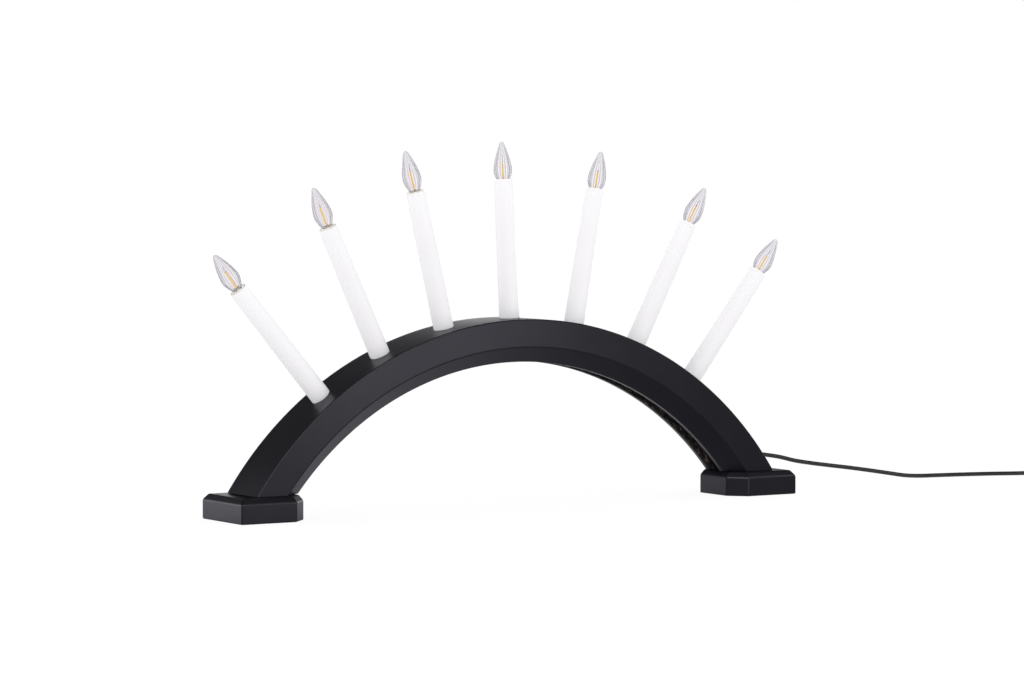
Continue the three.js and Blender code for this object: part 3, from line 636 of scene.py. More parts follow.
def clear_glass(name, stops, gloss):
    """Thin clear glass: it lets light through under a faint gloss, with painted shade that greys it edge-on
    and along its flutes.
    """
    m = Paint(name, 0.06)
    wave = m.noise(60.0, 1.0)
    m.mottled(wave, (0.53, 0.53, 0.58), (0.58, 0.575, 0.62))
    m.rough(wave, 0.05, 0.08)
    seen = add_node(m.tree, "LayerWeight")
    seen.inputs["Blend"].default_value = 0.5
    flute_shade = add_node(m.tree, "Attribute")
    flute_shade.attribute_name = "flute_shade"
    painted_shade = add_node(m.tree, "VectorMath")
    painted_shade.operation = "MULTIPLY"
    shaded_tint = add_node(m.tree, "BsdfTransparent")
    share = add_node(m.tree, "Fresnel")
    share.inputs["IOR"].default_value = gloss
    shiny = add_node(m.tree, "MixShader")
    path = add_node(m.tree, "LightPath")
    clear = add_node(m.tree, "BsdfTransparent")
    lit = add_node(m.tree, "MixShader")
    for start, end in (
        (m.ramp(seen.outputs["Facing"], stops), painted_shade.inputs[0]),
        (m.ramp(flute_shade.outputs["Fac"], GLASS_FLUTE_SHADE_LINES), painted_shade.inputs[1]),
        (painted_shade.outputs[0], shaded_tint.inputs["Color"]),
        (share.outputs[0], shiny.inputs[0]),
        (shaded_tint.outputs[0], shiny.inputs[1]),
        (m.shader.outputs[0], shiny.inputs[2]),
        (path.outputs["Is Diffuse Ray"], lit.inputs[0]),
        (shiny.outputs[0], lit.inputs[1]),
        (clear.outputs[0], lit.inputs[2]),
        (lit.outputs[0], m.tree.nodes["Material Output"].inputs["Surface"]),
    ):
        m.tree.links.new(start, end)
    return m.material


def phosphor():
    m = Paint("phosphor", 0.55)
    speck = m.noise(1800.0, 3.0)
    m.mottled(speck, (0.95, 0.58, 0.15), (0.99, 0.7, 0.24))
    m.rough(speck, 0.48, 0.62)
    m.bumped((speck, 0.3, 0.04))
    return m.material


def soft_black(name, level, scale, low, high):
    """Black flexible plastic with a fine moulded grain."""
    m = Paint(name, 0.5)
    grain = m.noise(scale, 3.0)
    cloud = m.noise(90.0, 2.0)
    light = level * 1.5
    m.mottled(cloud, (level, level, level * 1.05), (light, light, level * 1.55))
    m.rough(grain, low, high)
    m.bumped((grain, 0.3, 0.04))
    return m.material


def wire_coat():
    m = Paint("wire_coat", 0.5)
    cloud = m.noise(240.0, 3.0)
    m.mottled(cloud, (0.07, 0.04, 0.026), (0.13, 0.08, 0.05))
    m.rough(cloud, 0.4, 0.55)
    m.bumped((cloud, 0.2, 0.05))
    return m.material


BLACK_PAINT = black_paint()
GROOVE_WOOD = groove_wood()
WHITE_PLASTIC = white_plastic()
HOLDER_PLASTIC = holder_plastic()
NICKEL = metal("nickel", (0.66, 0.61, 0.53), (0.8, 0.76, 0.68), 0.2, 0.36)
BRASS = metal("brass", (0.55, 0.38, 0.14), (0.68, 0.5, 0.22), 0.24, 0.4)
ZINC = metal("zinc", (0.48, 0.49, 0.5), (0.62, 0.63, 0.64), 0.28, 0.42)
CLEAR_GLASS = clear_glass("clear_glass", GLASS_OUTSIDE_TINT_AND_EDGE_SHADE, 1.2)
GLASS_BACK = clear_glass("clear_glass_inside", GLASS_INSIDE_TINT_AND_EDGE_SHADE, 1.1)
PHOSPHOR = phosphor()
LEAD_BLACK = soft_black("lead_black", 0.012, 1600.0, 0.38, 0.5)
TIE_BLACK = soft_black("tie_black", 0.016, 2400.0, 0.7, 0.9)
WIRE_COAT = wire_coat()


def dress(obj, body, slot, nodes, *materials):
    """Gives a piece its materials and its body, and hides the solids that it stands for."""
    for made in materials:
        obj.data.materials.append(made)
    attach(obj, body)
    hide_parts(*nodes)
    return obj


def store_grain(obj, rule):
    """Keeps a vector at each vertex for the material, worked out from its place."""
    mesh = obj.data
    grain = mesh.attributes.new("grain", "FLOAT_VECTOR", "POINT")
    values = []
    for vertex in mesh.vertices:
        values += rule(vertex.co)
    grain.data.foreach_set("vector", values)


def paint_faces(obj, test):
    """Gives the faces whose centre passes the test the object's second material."""
    for face in obj.data.polygons:
        if test(face.center):
            face.material_index = 1


def paint_parts(obj, parts, numbers):
    """Gives the faces of each merged part the material of its number."""
    indices = [number for (_, faces), number in zip(parts, numbers) for _ in faces]
    obj.data.polygons.foreach_set("material_index", indices)


# Places of the candles and lamps
def arch_point(radius, angle, y):
    return Vector((radius * math.sin(angle), y, ARCH_CENTRE_Z + radius * math.cos(angle)))


def candle_angle(i):
    return math.radians((i - (len(STANCE) - 1) / 2) * PITCH_DEG)


def candle_frame(i):
    side, back, _, _ = STANCE[i]
    place = Matrix.Translation(arch_point(ARCH_OUTER_R, candle_angle(i), 0))
    turn = Matrix.Rotation(candle_angle(i) + math.radians(side), 4, "Y")
    return place @ turn @ Matrix.Rotation(-math.radians(back), 4, "X")


def lamp_frame(i):
    _, _, rise, tilt = STANCE[i]
    up = Matrix.Translation((0, 0, MOUTH_Z - LAMP_SEAT + rise))
    return candle_frame(i) @ up @ Matrix.Rotation(math.radians(tilt), 4, "Y")


# Arch and feet
def make_arch():
    """Bent bar, chamfered and grooved below, cut off level above the feet, and drilled."""
    lip = ARCH_HALF - ARCH_CHAMFER
    corners = [
        (ARCH_OUTER_R, -ARCH_HALF), (ARCH_OUTER_R, ARCH_HALF), (ARCH_INNER_R + ARCH_CHAMFER, ARCH_HALF),
        (ARCH_INNER_R, lip), (ARCH_INNER_R, GROOVE_HALF), (GROOVE_ROOF_R, GROOVE_HALF),
        (GROOVE_ROOF_R, -GROOVE_HALF), (ARCH_INNER_R, -GROOVE_HALF), (ARCH_INNER_R, -lip),
        (ARCH_INNER_R + ARCH_CHAMFER, -ARCH_HALF),
    ]
    half_radii = [ARCH_EDGE_R, CHAMFER_EDGE_R, LIP_EDGE_R, GROOVE_EDGE_R, GROOVE_CORNER_R]
    radii = [ARCH_EDGE_R, *half_radii, *reversed(half_radii[1:])]
    section = rounded(corners, radii, 6)
    verts, faces = [], []
    for k in range(ARCH_STEPS + 1):
        angle = math.radians(ARCH_SWEEP_DEG) * (2 * k / ARCH_STEPS - 1)
        verts += [arch_point(r, angle, y) * MM for r, y in section]
    for k in range(ARCH_STEPS):
        faces += strip(len(section), k, k + 1)
    arch = mesh_object("arch_wood", verts, faces)
    made = bmesh.new()
    made.from_mesh(arch.data)
    cut = bmesh.ops.bisect_plane(
        made, geom=[*made.verts, *made.edges, *made.faces], dist=1e-7,
        plane_co=(0, 0, (FOOT_HEIGHT + FIT) * MM), plane_no=(0, 0, 1), clear_inner=True,
    )
    edges = [e for e in cut["geom_cut"] if isinstance(e, bmesh.types.BMEdge)]
    bmesh.ops.holes_fill(made, edges=edges, sides=0)
    made.to_mesh(arch.data)
    made.free()
    tidy_normals(arch)
    depth = -ROOF_THICK - WIRE_DROP
    hole_r, seat_r = SPIGOT_R + FIT, TUBE_BASE_R + FIT
    hole = [
        (0, depth), (hole_r, depth), (hole_r, -SEAT_DEPTH), (seat_r, -SEAT_DEPTH), (seat_r, TUBE_BASE_R),
        (0, TUBE_BASE_R),
    ]
    cutters = [turned(hole, 48, candle_frame(i), closed=False) for i in range(len(STANCE))]
    past = 2.0
    start = Matrix.Translation((EXIT[0], GROOVE_HALF - past, EXIT[2]))
    lead_way = start @ Matrix.Rotation(-math.pi / 2, 4, "X")
    through = ARCH_HALF + past
    bore = [(0, 0), (RELIEF_HOLE_R, 0), (RELIEF_HOLE_R, through), (0, through)]
    cutters.append(turned(bore, 32, lead_way, closed=False))
    drilled(arch, cutters)

    def grain(co):
        x, z = co.x, co.z - ARCH_CENTRE_Z * MM
        radius = math.hypot(x, z)
        return math.atan2(x, z) * ARCH_OUTER_R * MM, co.y, radius

    store_grain(flat_faced(arch), grain)
    dress(arch, "bridge", "black_wood", ["arch"], BLACK_PAINT, GROOVE_WOOD)

    def sawn(co):
        """The sawn faces inside the groove."""
        _, y, radius = (v / MM for v in grain(co))
        return abs(y) < GROOVE_HALF + 0.1 and ARCH_INNER_R + 0.5 < radius < GROOVE_ROOF_R + 0.1

    paint_faces(arch, sawn)


def make_foot(side, sign):
    """Block with two cut-off inner corners, a bevelled top and a countersunk hole."""
    near, far = FOOT_FAR - FOOT_LENGTH, FOOT_FAR
    levels = [(0.0, 0.0), (FOOT_HEIGHT - FOOT_BEVEL_DROP, 0.0), (FOOT_HEIGHT, FOOT_BEVEL_IN)]
    verts, faces = [], []
    for z, inset in levels:
        corner = FOOT_CORNER - inset * (2 - math.sqrt(2))
        x0, x1, y1 = near + inset, far - inset, FOOT_HALF - inset
        outline = [
            (x1, -y1), (x1, y1), (x0 + corner, y1), (x0, y1 - corner), (x0, corner - y1),
            (x0 + corner, -y1),
        ]
        verts += [Vector((sign * x, y, z)) * MM for x, y in outline]
    count = len(verts) // len(levels)
    for level in range(len(levels) - 1):
        faces += strip(count, level, level + 1)
    faces.append(list(range(count)))
    faces.append([(len(levels) - 1) * count + k for k in range(count)])
    foot = mesh_object(f"foot_{side}_wood", verts, faces)
    edges_rounded(foot, FOOT_EDGE_R)
    head_r, shank_r = SCREW_HEAD_R + FIT, SCREW_R + FIT
    sink = SCREW_SINK + FIT / 2
    below, above = -1.0, FOOT_HEIGHT + 2.0
    hole = [
        (0, below), (head_r, below), (head_r, sink), (shank_r, sink + SCREW_HEAD_H), (shank_r, above),
        (0, above),
    ]
    drilled(foot, [turned(hole, 32, Matrix.Translation((sign * SCREW_X, 0, 0)), closed=False)])
    store_grain(flat_faced(foot), lambda co: tuple(co))
    dress(foot, "bridge", "black_wood", [f"foot_{side}"], BLACK_PAINT)


def make_screw(side, sign):
    """Countersunk wood screw with a cross slot."""
    point = SCREW_SINK + SCREW_LENGTH
    corners = [
        (0, SCREW_SINK), (SCREW_HEAD_R, SCREW_SINK), (SCREW_R, SCREW_SINK + SCREW_HEAD_H),
        (SCREW_R, point - SCREW_POINT), (0, point),
    ]
    profile = rounded(corners, [0, 0.25, 0.3, 0, 0], closed=False)
    place = Matrix.Translation((sign * SCREW_X, 0, 0))
    screw = turned_object(f"foot_screw_{side}_steel", profile, 40, place, False)
    sides = [[0, 2, 3, 1], [4, 5, 7, 6], [0, 1, 5, 4], [2, 6, 7, 3], [0, 4, 6, 2], [1, 3, 7, 5]]
    levels = (SCREW_SINK - 0.5, SCREW_SINK + CROSS_DEPTH)
    for wide, deep in ((CROSS_HALF_LONG, CROSS_HALF_WIDE), (CROSS_HALF_WIDE, CROSS_HALF_LONG)):
        box = [place @ Vector((x, y, z)) * MM for z in levels for y in (-deep, deep) for x in (-wide, wide)]
        drilled(screw, [(box, sides)])
    dress(screw, "bridge", "screw_steel", [f"foot_screw_{side}"], ZINC)


# Candles and lamps
def make_tube(i):
    """Tapered sleeve with a fine ring below its mouth, and a hollow spigot under it."""
    floor = BASE_Z + TUBE_FLOOR
    bore = TUBE_TOP_R - TUBE_WALL
    mark = MOUTH_Z - TUBE_MARK_BELOW_MOUTH
    corners = [
        (SPIGOT_BORE_R, SPIGOT_Z), (SPIGOT_R, SPIGOT_Z), (SPIGOT_R, BASE_Z), (TUBE_BASE_R, BASE_Z),
        (TUBE_TOP_R + 0.02, mark - 0.3), (TUBE_TOP_R - 0.1, mark), (TUBE_TOP_R, mark + 0.3),
        (TUBE_TOP_R, MOUTH_Z), (bore, MOUTH_Z), (TUBE_BASE_R - TUBE_WALL, floor), (SPIGOT_BORE_R, floor),
    ]
    radii = [0.2, 0.3, 0.2, 1.3, 0.1, 0.1, 0.1, 0.35, 0.3, 0.5, 0.2]
    profile = divided(rounded(corners, radii), 6.0)
    tube = turned_object(f"candle_{i + 1}_tube", profile, 72, candle_frame(i))
    back = candle_frame(i).inverted()
    store_grain(tube, lambda co: tuple((back @ (co / MM)) * MM))
    dress(tube, "bridge", "candle_plastic", [f"candle_tube_{i + 1}"], WHITE_PLASTIC)


def make_holder(i):
    bore = CAP_R + FIT
    outer = bore + HOLDER_WALL
    collar = outer + HOLDER_COLLAR_STEP
    under = HOLDER_RIM - HOLDER_COLLAR
    corners = [
        (HOLDER_HOLE_R, HOLDER_BOTTOM_Z), (outer, HOLDER_BOTTOM_Z), (outer, under), (collar, under),
        (collar, HOLDER_RIM), (bore, HOLDER_RIM), (bore, HOLDER_FLOOR_Z), (HOLDER_HOLE_R, HOLDER_FLOOR_Z),
    ]
    radii = [0.1, 0.4, 0.1, 0.2, 0.25, 0.15, 0.3, 0.1]
    holder = turned_object(f"candle_{i + 1}_holder", rounded(corners, radii, 3), 48, lamp_frame(i))
    dress(holder, "bridge", "holder_plastic", [f"lamp_holder_{i + 1}"], HOLDER_PLASTIC)


def make_contact(i):
    top = CAP_TIP_Z - FIT
    foot = HOLDER_BOTTOM_Z - FIT - THREAD_PITCH
    low, head = foot - CONTACT_PLATE, top - CONTACT_PLATE
    corners = [
        (0, low), (CONTACT_FOOT_R, low), (CONTACT_FOOT_R, foot), (CONTACT_STEM_R, foot),
        (CONTACT_STEM_R, head), (CONTACT_HEAD_R, head), (CONTACT_TOP_R, top), (0, top),
    ]
    radii = [0, 0.2, 0.15, 0.1, 0.1, 0.12, 0.3, 0]
    profile = rounded(corners, radii, 3, False)
    contact = turned_object(f"lamp_{i + 1}_contact", profile, 32, lamp_frame(i), False)
    dress(contact, f"contact_{i + 1}", "contact_brass", [f"lamp_contact_{i + 1}"], BRASS)


def make_cap(i):
    """Screw cap with a rolled thread, pale cement at its mouth, an insulator below it and a solder tip."""
    low, high, step = -CAP_SHELL + 0.4, -1.3, 0.15
    rows = int((high - low) / step)
    thread = [(CAP_R, low + (high - low) * k / rows) for k in range(rows + 1)]
    inner = CAP_R - CAP_WALL
    tip = [(0, 0), (1.2, 0.1), (1.8, 0.45), (1.9, 1.0), (2.3, 1.05)]
    profile = [
        *((r, CAP_TIP_Z + z) for r, z in tip), (inner, -CAP_SHELL), *thread, (CAP_R, -0.25),
        (CAP_R - 0.08, -0.05), (CAP_R - 0.25, 0), (CAP_R - 0.42, -0.05), (inner, -0.25),
        (inner, -CAP_CUP), (0, -CAP_CUP),
    ]

    def rolled(r, z, turn):
        if not low - 0.01 <= z <= high + 0.01 or r < CAP_R - 0.01:
            return r
        ease = min(1.0, (z - low) / 0.6, (high - z) / 0.6)
        wave = math.cos(2 * math.pi * z / THREAD_PITCH - turn)
        return r - THREAD_DEPTH * max(0.0, ease) * (1 - wave) / 2

    cap = turned_object(f"lamp_{i + 1}_cap", profile, 48, lamp_frame(i), False, rolled, 40.0)
    dress(cap, f"lamp_{i + 1}", "cap_nickel", [f"lamp_cap_{i + 1}"], NICKEL, HOLDER_PLASTIC)
    back = lamp_frame(i).inverted()

    def pale(co):
        at = back @ (co / MM)
        inside = math.hypot(at.x, at.y) < CAP_R - 0.3 and at.z > -CAP_SHELL
        return inside or CAP_TIP_Z + 1.02 < at.z < -CAP_SHELL - 0.05

    paint_faces(cap, pale)


def glass_radius(z):
    if z <= FIT:
        return NECK_R
    if z < BELLY_Z:
        return NECK_R + (BELLY_R - NECK_R) * math.sin((z - FIT) / (BELLY_Z - FIT) * math.pi / 2)
    fall = (z - BELLY_Z) / (GLASS_Z - BELLY_Z)
    taper = GLASS_TIP_R + (BELLY_R - GLASS_TIP_R) * (1 - fall ** GLASS_TAPER)
    near_tip = max(0.0, z - (GLASS_Z - 2 * GLASS_TIP_R)) / (2 * GLASS_TIP_R)
    return taper * math.sqrt(max(0.0, 1 - near_tip ** 3))


def make_glass(i):
    """Flame-shaped fluted shell, open at its neck inside the cap."""
    neck = FIT - CAP_CUP
    heights = [FIT + (BELLY_Z - FIT) * k / 12 for k in range(12)]
    heights += [BELLY_Z + (GLASS_Z - BELLY_Z) * k / 24 for k in range(24)]
    heights += [GLASS_Z - 0.7, GLASS_Z - 0.4, GLASS_Z - 0.15]
    outside = [(NECK_R, neck), *((glass_radius(z), z) for z in heights)]
    inside = [(glass_radius(z) - GLASS_WALL, z) for z in reversed(heights) if FIT < z < GLASS_Z - 1.8]
    neck_bore = NECK_R - GLASS_WALL
    profile = [*outside, (0, GLASS_Z), (0, GLASS_Z - 1.3), *inside, (neck_bore, FIT), (neck_bore, neck)]

    def ease(z):
        return max(0.0, min(1.0, (z - FIT) / 2.5, (GLASS_Z - z) / 3.0))

    def fluted(r, z, turn):
        if z < FIT or r < 0.8:
            return r
        ridge = abs(math.cos(FLUTES * (turn - FLUTE_TURN) / 2))
        return r - FLUTE_DEPTH * ease(z) * (1 - ridge ** 0.8) * min(1.0, r / NECK_R)

    glass = turned_object(f"lamp_{i + 1}_glass", profile, FLUTES * 12, lamp_frame(i), True, fluted, 60.0)
    dress(glass, f"lamp_{i + 1}", "lamp_glass", [f"lamp_glass_{i + 1}"], CLEAR_GLASS, GLASS_BACK)
    back = lamp_frame(i).inverted()
    # Painted shade lines along each ridge and valley of the flutes, for the light that they bend
    flute_shade_lines = glass.data.attributes.new("flute_shade", "FLOAT", "POINT")
    for k, vertex in enumerate(glass.data.vertices):
        at = back @ (vertex.co / MM)
        phase = FLUTES * (math.atan2(at.y, at.x) - FLUTE_TURN)
        flute_shade_lines.data[k].value = ease(at.z) * math.cos(phase) ** 10
    turn = back.to_3x3()
    for face in glass.data.polygons:
        at, out = back @ (face.center / MM), turn @ face.normal
        face.material_index = 1 if at.x * out.x + at.y * out.y < 0 or at.z < FIT else 0


def make_filament(i):
    """Coated stick between its lead wires, on a pressed bead in the neck."""
    at = lamp_frame(i)
    low, high, neck = FILAMENT_FROM, FILAMENT_TO, FIT - CAP_CUP
    ends = [(0, low), (FILAMENT_R, low), (FILAMENT_R, high), (0, high)]
    stick = rounded(ends, [0, 0.3, 0.3, 0], 3, False)
    pressed = [(0, neck), (BEAD_R, neck), (BEAD_R, -0.6), (0.9, FIT), (0, FIT)]
    bead = rounded(pressed, [0, 0.3, 0.6, 0.3, 0], 4, False)
    clip = [(0, 0.2), (0.42, 0.2), (0.42, low + 0.3), (0, low + 0.3)]
    top = [(0, high - 0.3), (0.45, high - 0.3), (0.45, high + 0.9), (0.2, high + 1.3), (0, high + 1.3)]
    support = [at @ Vector((x, 0, high + z)) for x, z in ((0, 0.9), (0.1, 2.7), (0.5, 4.7), (0.7, 5.6))]
    rod = [at @ Vector(p) for p in ((1.1, 0.5, -1.0), (1.3, 0.6, 0.8), (1.15, 0.5, 1.9))]
    turns = ((stick, 20), (bead, 24), (clip, 16), (top, 16))
    parts = [turned(profile, sides, at, False) for profile, sides in turns]
    parts += [swept(smooth_path(wire), FILAMENT_WIRE_R, 10) for wire in (support, rod)]
    filament = mesh_object(f"lamp_{i + 1}_filament", *merged(*parts))
    made_of = (PHOSPHOR, HOLDER_PLASTIC, NICKEL)
    dress(filament, f"lamp_{i + 1}", "filament_phosphor", [f"lamp_filament_{i + 1}"], *made_of)
    paint_parts(filament, parts, (0, 1, 2, 2, 2, 2))


# Wires from lamp to lamp
def wire_drop(i, side):
    """Way of a wire from a lamp's holder down through its tube into the groove."""
    candle, lamp = candle_frame(i), lamp_frame(i)
    start = HOLDER_BOTTOM_Z - FIT
    down = [
        (lamp, WIRE_SPREAD, start), (lamp, WIRE_SPREAD, start - 2 * WIRE_BEND),
        (candle, WIRE_PINCH, BASE_Z + TUBE_FLOOR + 2 * WIRE_BEND), (candle, WIRE_PINCH, SPIGOT_Z),
        (candle, WIRE_PINCH + WIRE_R, -ROOF_THICK - WIRE_R),
    ]
    return [at @ Vector((side * x, 0, z)) for at, x, z in down]


def wire_run(start, stop, y):
    steps = max(2, math.ceil(abs(stop - start) / math.radians(WIRE_STEP_DEG)))
    return [arch_point(WIRE_RUN_R, start + (stop - start) * k / steps, y) for k in range(steps + 1)]


def wire_to_relief(offset, from_y):
    end_y = RELIEF_START_Y - FIT
    angle = EXIT_ANGLE + offset / EXIT_R
    return [arch_point(EXIT_R, angle, (from_y + end_y) / 2), arch_point(EXIT_R, angle, end_y)]


def make_wires():
    away = (WIRE_PINCH + WIRE_BEND) / WIRE_RUN_R
    last = len(STANCE) - 1
    routes = {}
    for i in range(last):
        run = wire_run(candle_angle(i) + away, candle_angle(i + 1) - away, LINK_Y)
        routes[f"wire_link_{i + 1}_{i + 2}"] = [*wire_drop(i, 1), *run, *reversed(wire_drop(i + 1, -1))]
    routes["wire_feed"] = [
        *wire_drop(last, 1), *wire_run(candle_angle(last) + away, EXIT_ANGLE, LINK_Y),
        *wire_to_relief(2 * WIRE_R, LINK_Y),
    ]
    routes["wire_return"] = [
        *wire_drop(0, -1), *wire_run(candle_angle(0) - away / 2, EXIT_ANGLE - away / 2, RETURN_Y),
        *wire_to_relief(-2 * WIRE_R, RETURN_Y),
    ]
    for name, route in routes.items():
        wire = mesh_object(name + "_coat", *swept(smooth_path(route, 4), WIRE_R, 12))
        dress(wire, "bridge", "wire_insulation", [name], WIRE_COAT)


# Lead, strain relief, tie and plug
def make_relief():
    """Grommet with a flange against the arch and a ribbed nose round the lead."""
    flange = RELIEF_SHANK + RELIEF_FLANGE
    end = flange + RELIEF_NOSE
    corners = [
        (0, 0), (RELIEF_SHANK_R, 0), (RELIEF_SHANK_R, RELIEF_SHANK), (RELIEF_FLANGE_R, RELIEF_SHANK),
        (RELIEF_FLANGE_R, flange), (RELIEF_NOSE_R, flange),
    ]
    radii = [0, 0.2, 0.1, 0.25, 0.4, 0.2]
    for k in range(RELIEF_RIBS):
        z = flange + RELIEF_RIB_FROM + RELIEF_RIB_PITCH * k
        out = RELIEF_NOSE_R - (RELIEF_NOSE_R - RELIEF_END_R) * (z - flange) / RELIEF_NOSE
        slit = out - RELIEF_RIB_DEPTH
        corners += [(out, z), (slit, z + 0.25), (slit, z + 0.85), (out - 0.08, z + 1.1)]
        radii += [0.2, 0.12, 0.12, 0.2]
    corners += [(RELIEF_END_R, end), (0, end)]
    radii += [0.5, 0]
    place = Matrix.Translation((EXIT[0], RELIEF_START_Y, EXIT[2])) @ Matrix.Rotation(-math.pi / 2, 4, "X")
    relief = turned_object("lead_relief", rounded(corners, radii, 3, False), 40, place, False)
    return dress(relief, "bridge", "lead_black", ["strain_relief"], LEAD_BLACK)


def make_tie():
    slack = COIL_BULGE + CORD_R + FIT
    near, far = coil["inner"] - slack, coil["outer"] + slack
    top = COIL_BASE_Z + (COIL_LAYERS - 1) * COIL_STEP + CORD_R + FIT
    hole = [(near, TIE_THICK), (far, TIE_THICK), (far, top), (near, top)]
    hole = rounded(hole, [TIE_BEND_R] * 4, 6)
    x0, x1, z1 = near - TIE_THICK, far + TIE_THICK, top + TIE_THICK
    band = rounded([(x0, 0), (x1, 0), (x1, z1), (x0, z1)], [TIE_BEND_R + TIE_THICK] * 4, 6)
    turn = Matrix.Translation(coil["centre"]) @ Matrix.Rotation(coil["angle"] + math.pi, 4, "Z")
    half = TIE_WIDTH / 2
    rings = [(band, -half), (band, half), (hole, half), (hole, -half)]
    verts, faces = [], []
    for k, (loop, y) in enumerate(rings):
        verts += [turn @ Vector((x, y, z)) * MM for x, z in loop]
        faces += strip(len(band), k, (k + 1) % len(rings))
    tie = mesh_object("lead_tie", verts, faces)
    edges_rounded(tie, TIE_EDGE_R, 2, 50.0)
    return dress(flat_faced(tie), "bridge", "lead_black", ["cord_tie"], TIE_BLACK)


def make_plug():
    """Flat moulded plug with two sleeved pins and their metal ends."""
    near = (PLUG_NECK, PLUG_NECK_HALF)
    mid = (PLUG_NECK + PLUG_SHOULDER, PLUG_GRIP_HALF)
    far = (PLUG_LENGTH - PLUG_FACE, PLUG_GRIP_HALF)
    side = [(0, PLUG_NECK_HALF), near]
    for k in range(1, PLUG_CURVE_STEPS + 1):
        t = k / PLUG_CURVE_STEPS
        pull = ((1 - t) ** 2, 2 * t * (1 - t), t * t)
        side.append(tuple(sum(w * p[axis] for w, p in zip(pull, (near, mid, far))) for axis in (0, 1)))
    side += [(PLUG_LENGTH - PLUG_FACE / 2, PLUG_HALF), (PLUG_LENGTH, PLUG_HALF)]
    outline = [(x, -y) for x, y in side] + [(x, y) for x, y in reversed(side)]
    angle = math.atan2(coil["away"].y, coil["away"].x)
    place = Matrix.Translation(coil["end"] + coil["away"] * FIT) @ Matrix.Rotation(angle, 4, "Z")
    count = len(outline)
    verts = [place @ Vector((x, y, s * PLUG_THICK / 2)) * MM for s in (-1, 1) for x, y in outline]
    faces = [list(range(count)), [count + k for k in range(count)], *strip(count, 0, 1)]
    body = mesh_object("lead_plug", verts, faces)
    edges_rounded(body, PLUG_EDGE_R, 4, 50.0)
    root, join, end = PLUG_LENGTH - PIN_ROOT, PLUG_LENGTH + PIN_SLEEVE, PLUG_LENGTH + PIN_LENGTH
    sleeve = [(0, root), (PIN_SLEEVE_R, root), (PIN_SLEEVE_R, join), (0, join)]
    sleeve = rounded(sleeve, [0, 0.1, 0.1, 0], 2, False)
    tip = [(0, join - 0.2), (PIN_R, join - 0.2), (PIN_R, end), (0, end)]
    tip = rounded(tip, [0, 0.15, 1.2, 0], 5, False)
    parts = [([v.co.copy() for v in body.data.vertices], [list(p.vertices) for p in body.data.polygons])]
    bpy.data.objects.remove(body)
    for sign in (-1, 1):
        aside = Matrix.Translation((0, sign * PIN_SPACING / 2, 0))
        at = place @ aside @ Matrix.Rotation(math.pi / 2, 4, "Y")
        parts += [turned(sleeve, 32, at, False), turned(tip, 32, at, False)]
    plug = mesh_object("lead_plug", *merged(*parts))
    dress(flat_faced(plug), "bridge", "lead_black", ["plug"], LEAD_BLACK, NICKEL)
    paint_parts(plug, parts, (0, 0, 1, 0, 1))
    return plug


make_arch()
for side, sign in (("left", -1), ("right", 1)):
    make_foot(side, sign)
    make_screw(side, sign)
for i in range(len(STANCE)):
    make_tube(i)
    make_holder(i)
    make_contact(i)
    make_cap(i)
    make_glass(i)
    make_filament(i)
make_wires()
relief, tie, plug = make_relief(), make_tie(), make_plug()
dress(lead, "bridge", "lead_black", ["cord", "cord_coil"], LEAD_BLACK)


# Floor, world and lights, in metres. A direction meets the backdrop ahead of the camera, the ceiling above
AHEAD = Vector(CAMERA_UP).cross(Vector(CAMERA_RIGHT))
BACKDROP_FROM = -0.2
BACKDROP_FULL = 0.4
CEILING_FROM = 0.26
CEILING_FULL = 0.42

# The room as gloss and glass show it: its floor turns from near to far under the arch
STUDIO_DIM = 0.015
BACKDROP_SHEEN = 0.58
SHEEN_TINT = (0.985, 0.97, 1.04, 1.0)
FLOOR_SHEEN_NEAR = 0.23
FLOOR_SHEEN_FAR = 0.75
FLOOR_SHEEN_TURN = 0.06

# The floor as the camera sees it: how much of it glows, and how brightly
FLOOR_HALF = 6.0
FLOOR_GLOW = 0.9
FLOOR_WHITE = 1.015

# The room as it lights matt surfaces: its floor brightens away from the middle
FLOOR_NEAR = 0.15
FLOOR_FAR = 0.3
FLOOR_NEAR_LIT = 0.07
FLOOR_FAR_LIT = 0.93
SKY_LOW_LIT = 1.54
SKY_HIGH_LIT = 0.93


def shown(tree):
    """Outputs that are 1 for rays by way of gloss or glass only, and 1 for the camera's own rays."""
    path = add_node(tree, "LightPath")
    either, first = add_node(tree, "Math"), add_node(tree, "Math")
    either.operation, first.operation = "MAXIMUM", "GREATER_THAN"
    tree.links.new(path.outputs["Is Glossy Ray"], either.inputs[0])
    tree.links.new(path.outputs["Is Transmission Ray"], either.inputs[1])
    tree.links.new(either.outputs[0], first.inputs[0])
    tree.links.new(path.outputs["Diffuse Depth"], first.inputs[1])
    return first.outputs[0], path.outputs["Is Camera Ray"]


def smooth_step(tree, value, low, high):
    node = add_node(tree, "MapRange")
    node.interpolation_type = "SMOOTHSTEP"
    node.inputs["From Min"].default_value = low
    node.inputs["From Max"].default_value = high
    tree.links.new(value, node.inputs["Value"])
    return node.outputs["Result"]


def blended(tree, share, low, high):
    """low where share is 0 and high where it is 1; each is a number or an output."""
    node = add_node(tree, "Mix")
    for socket, value in ((node.inputs[0], share), (node.inputs[2], low), (node.inputs[3], high)):
        if isinstance(value, float):
            socket.default_value = value
        else:
            tree.links.new(value, socket)
    return node.outputs[0]


def tinted(tree, share):
    """White where share is 0, and the cooler studio that gloss shows where it is 1."""
    node = add_node(tree, "Mix")
    node.data_type = "RGBA"
    factor, white, cool = node.inputs[0], node.inputs[6], node.inputs[7]
    tree.links.new(share, factor)
    white.default_value = (1.0, 1.0, 1.0, 1.0)
    cool.default_value = SHEEN_TINT
    return node.outputs[2]


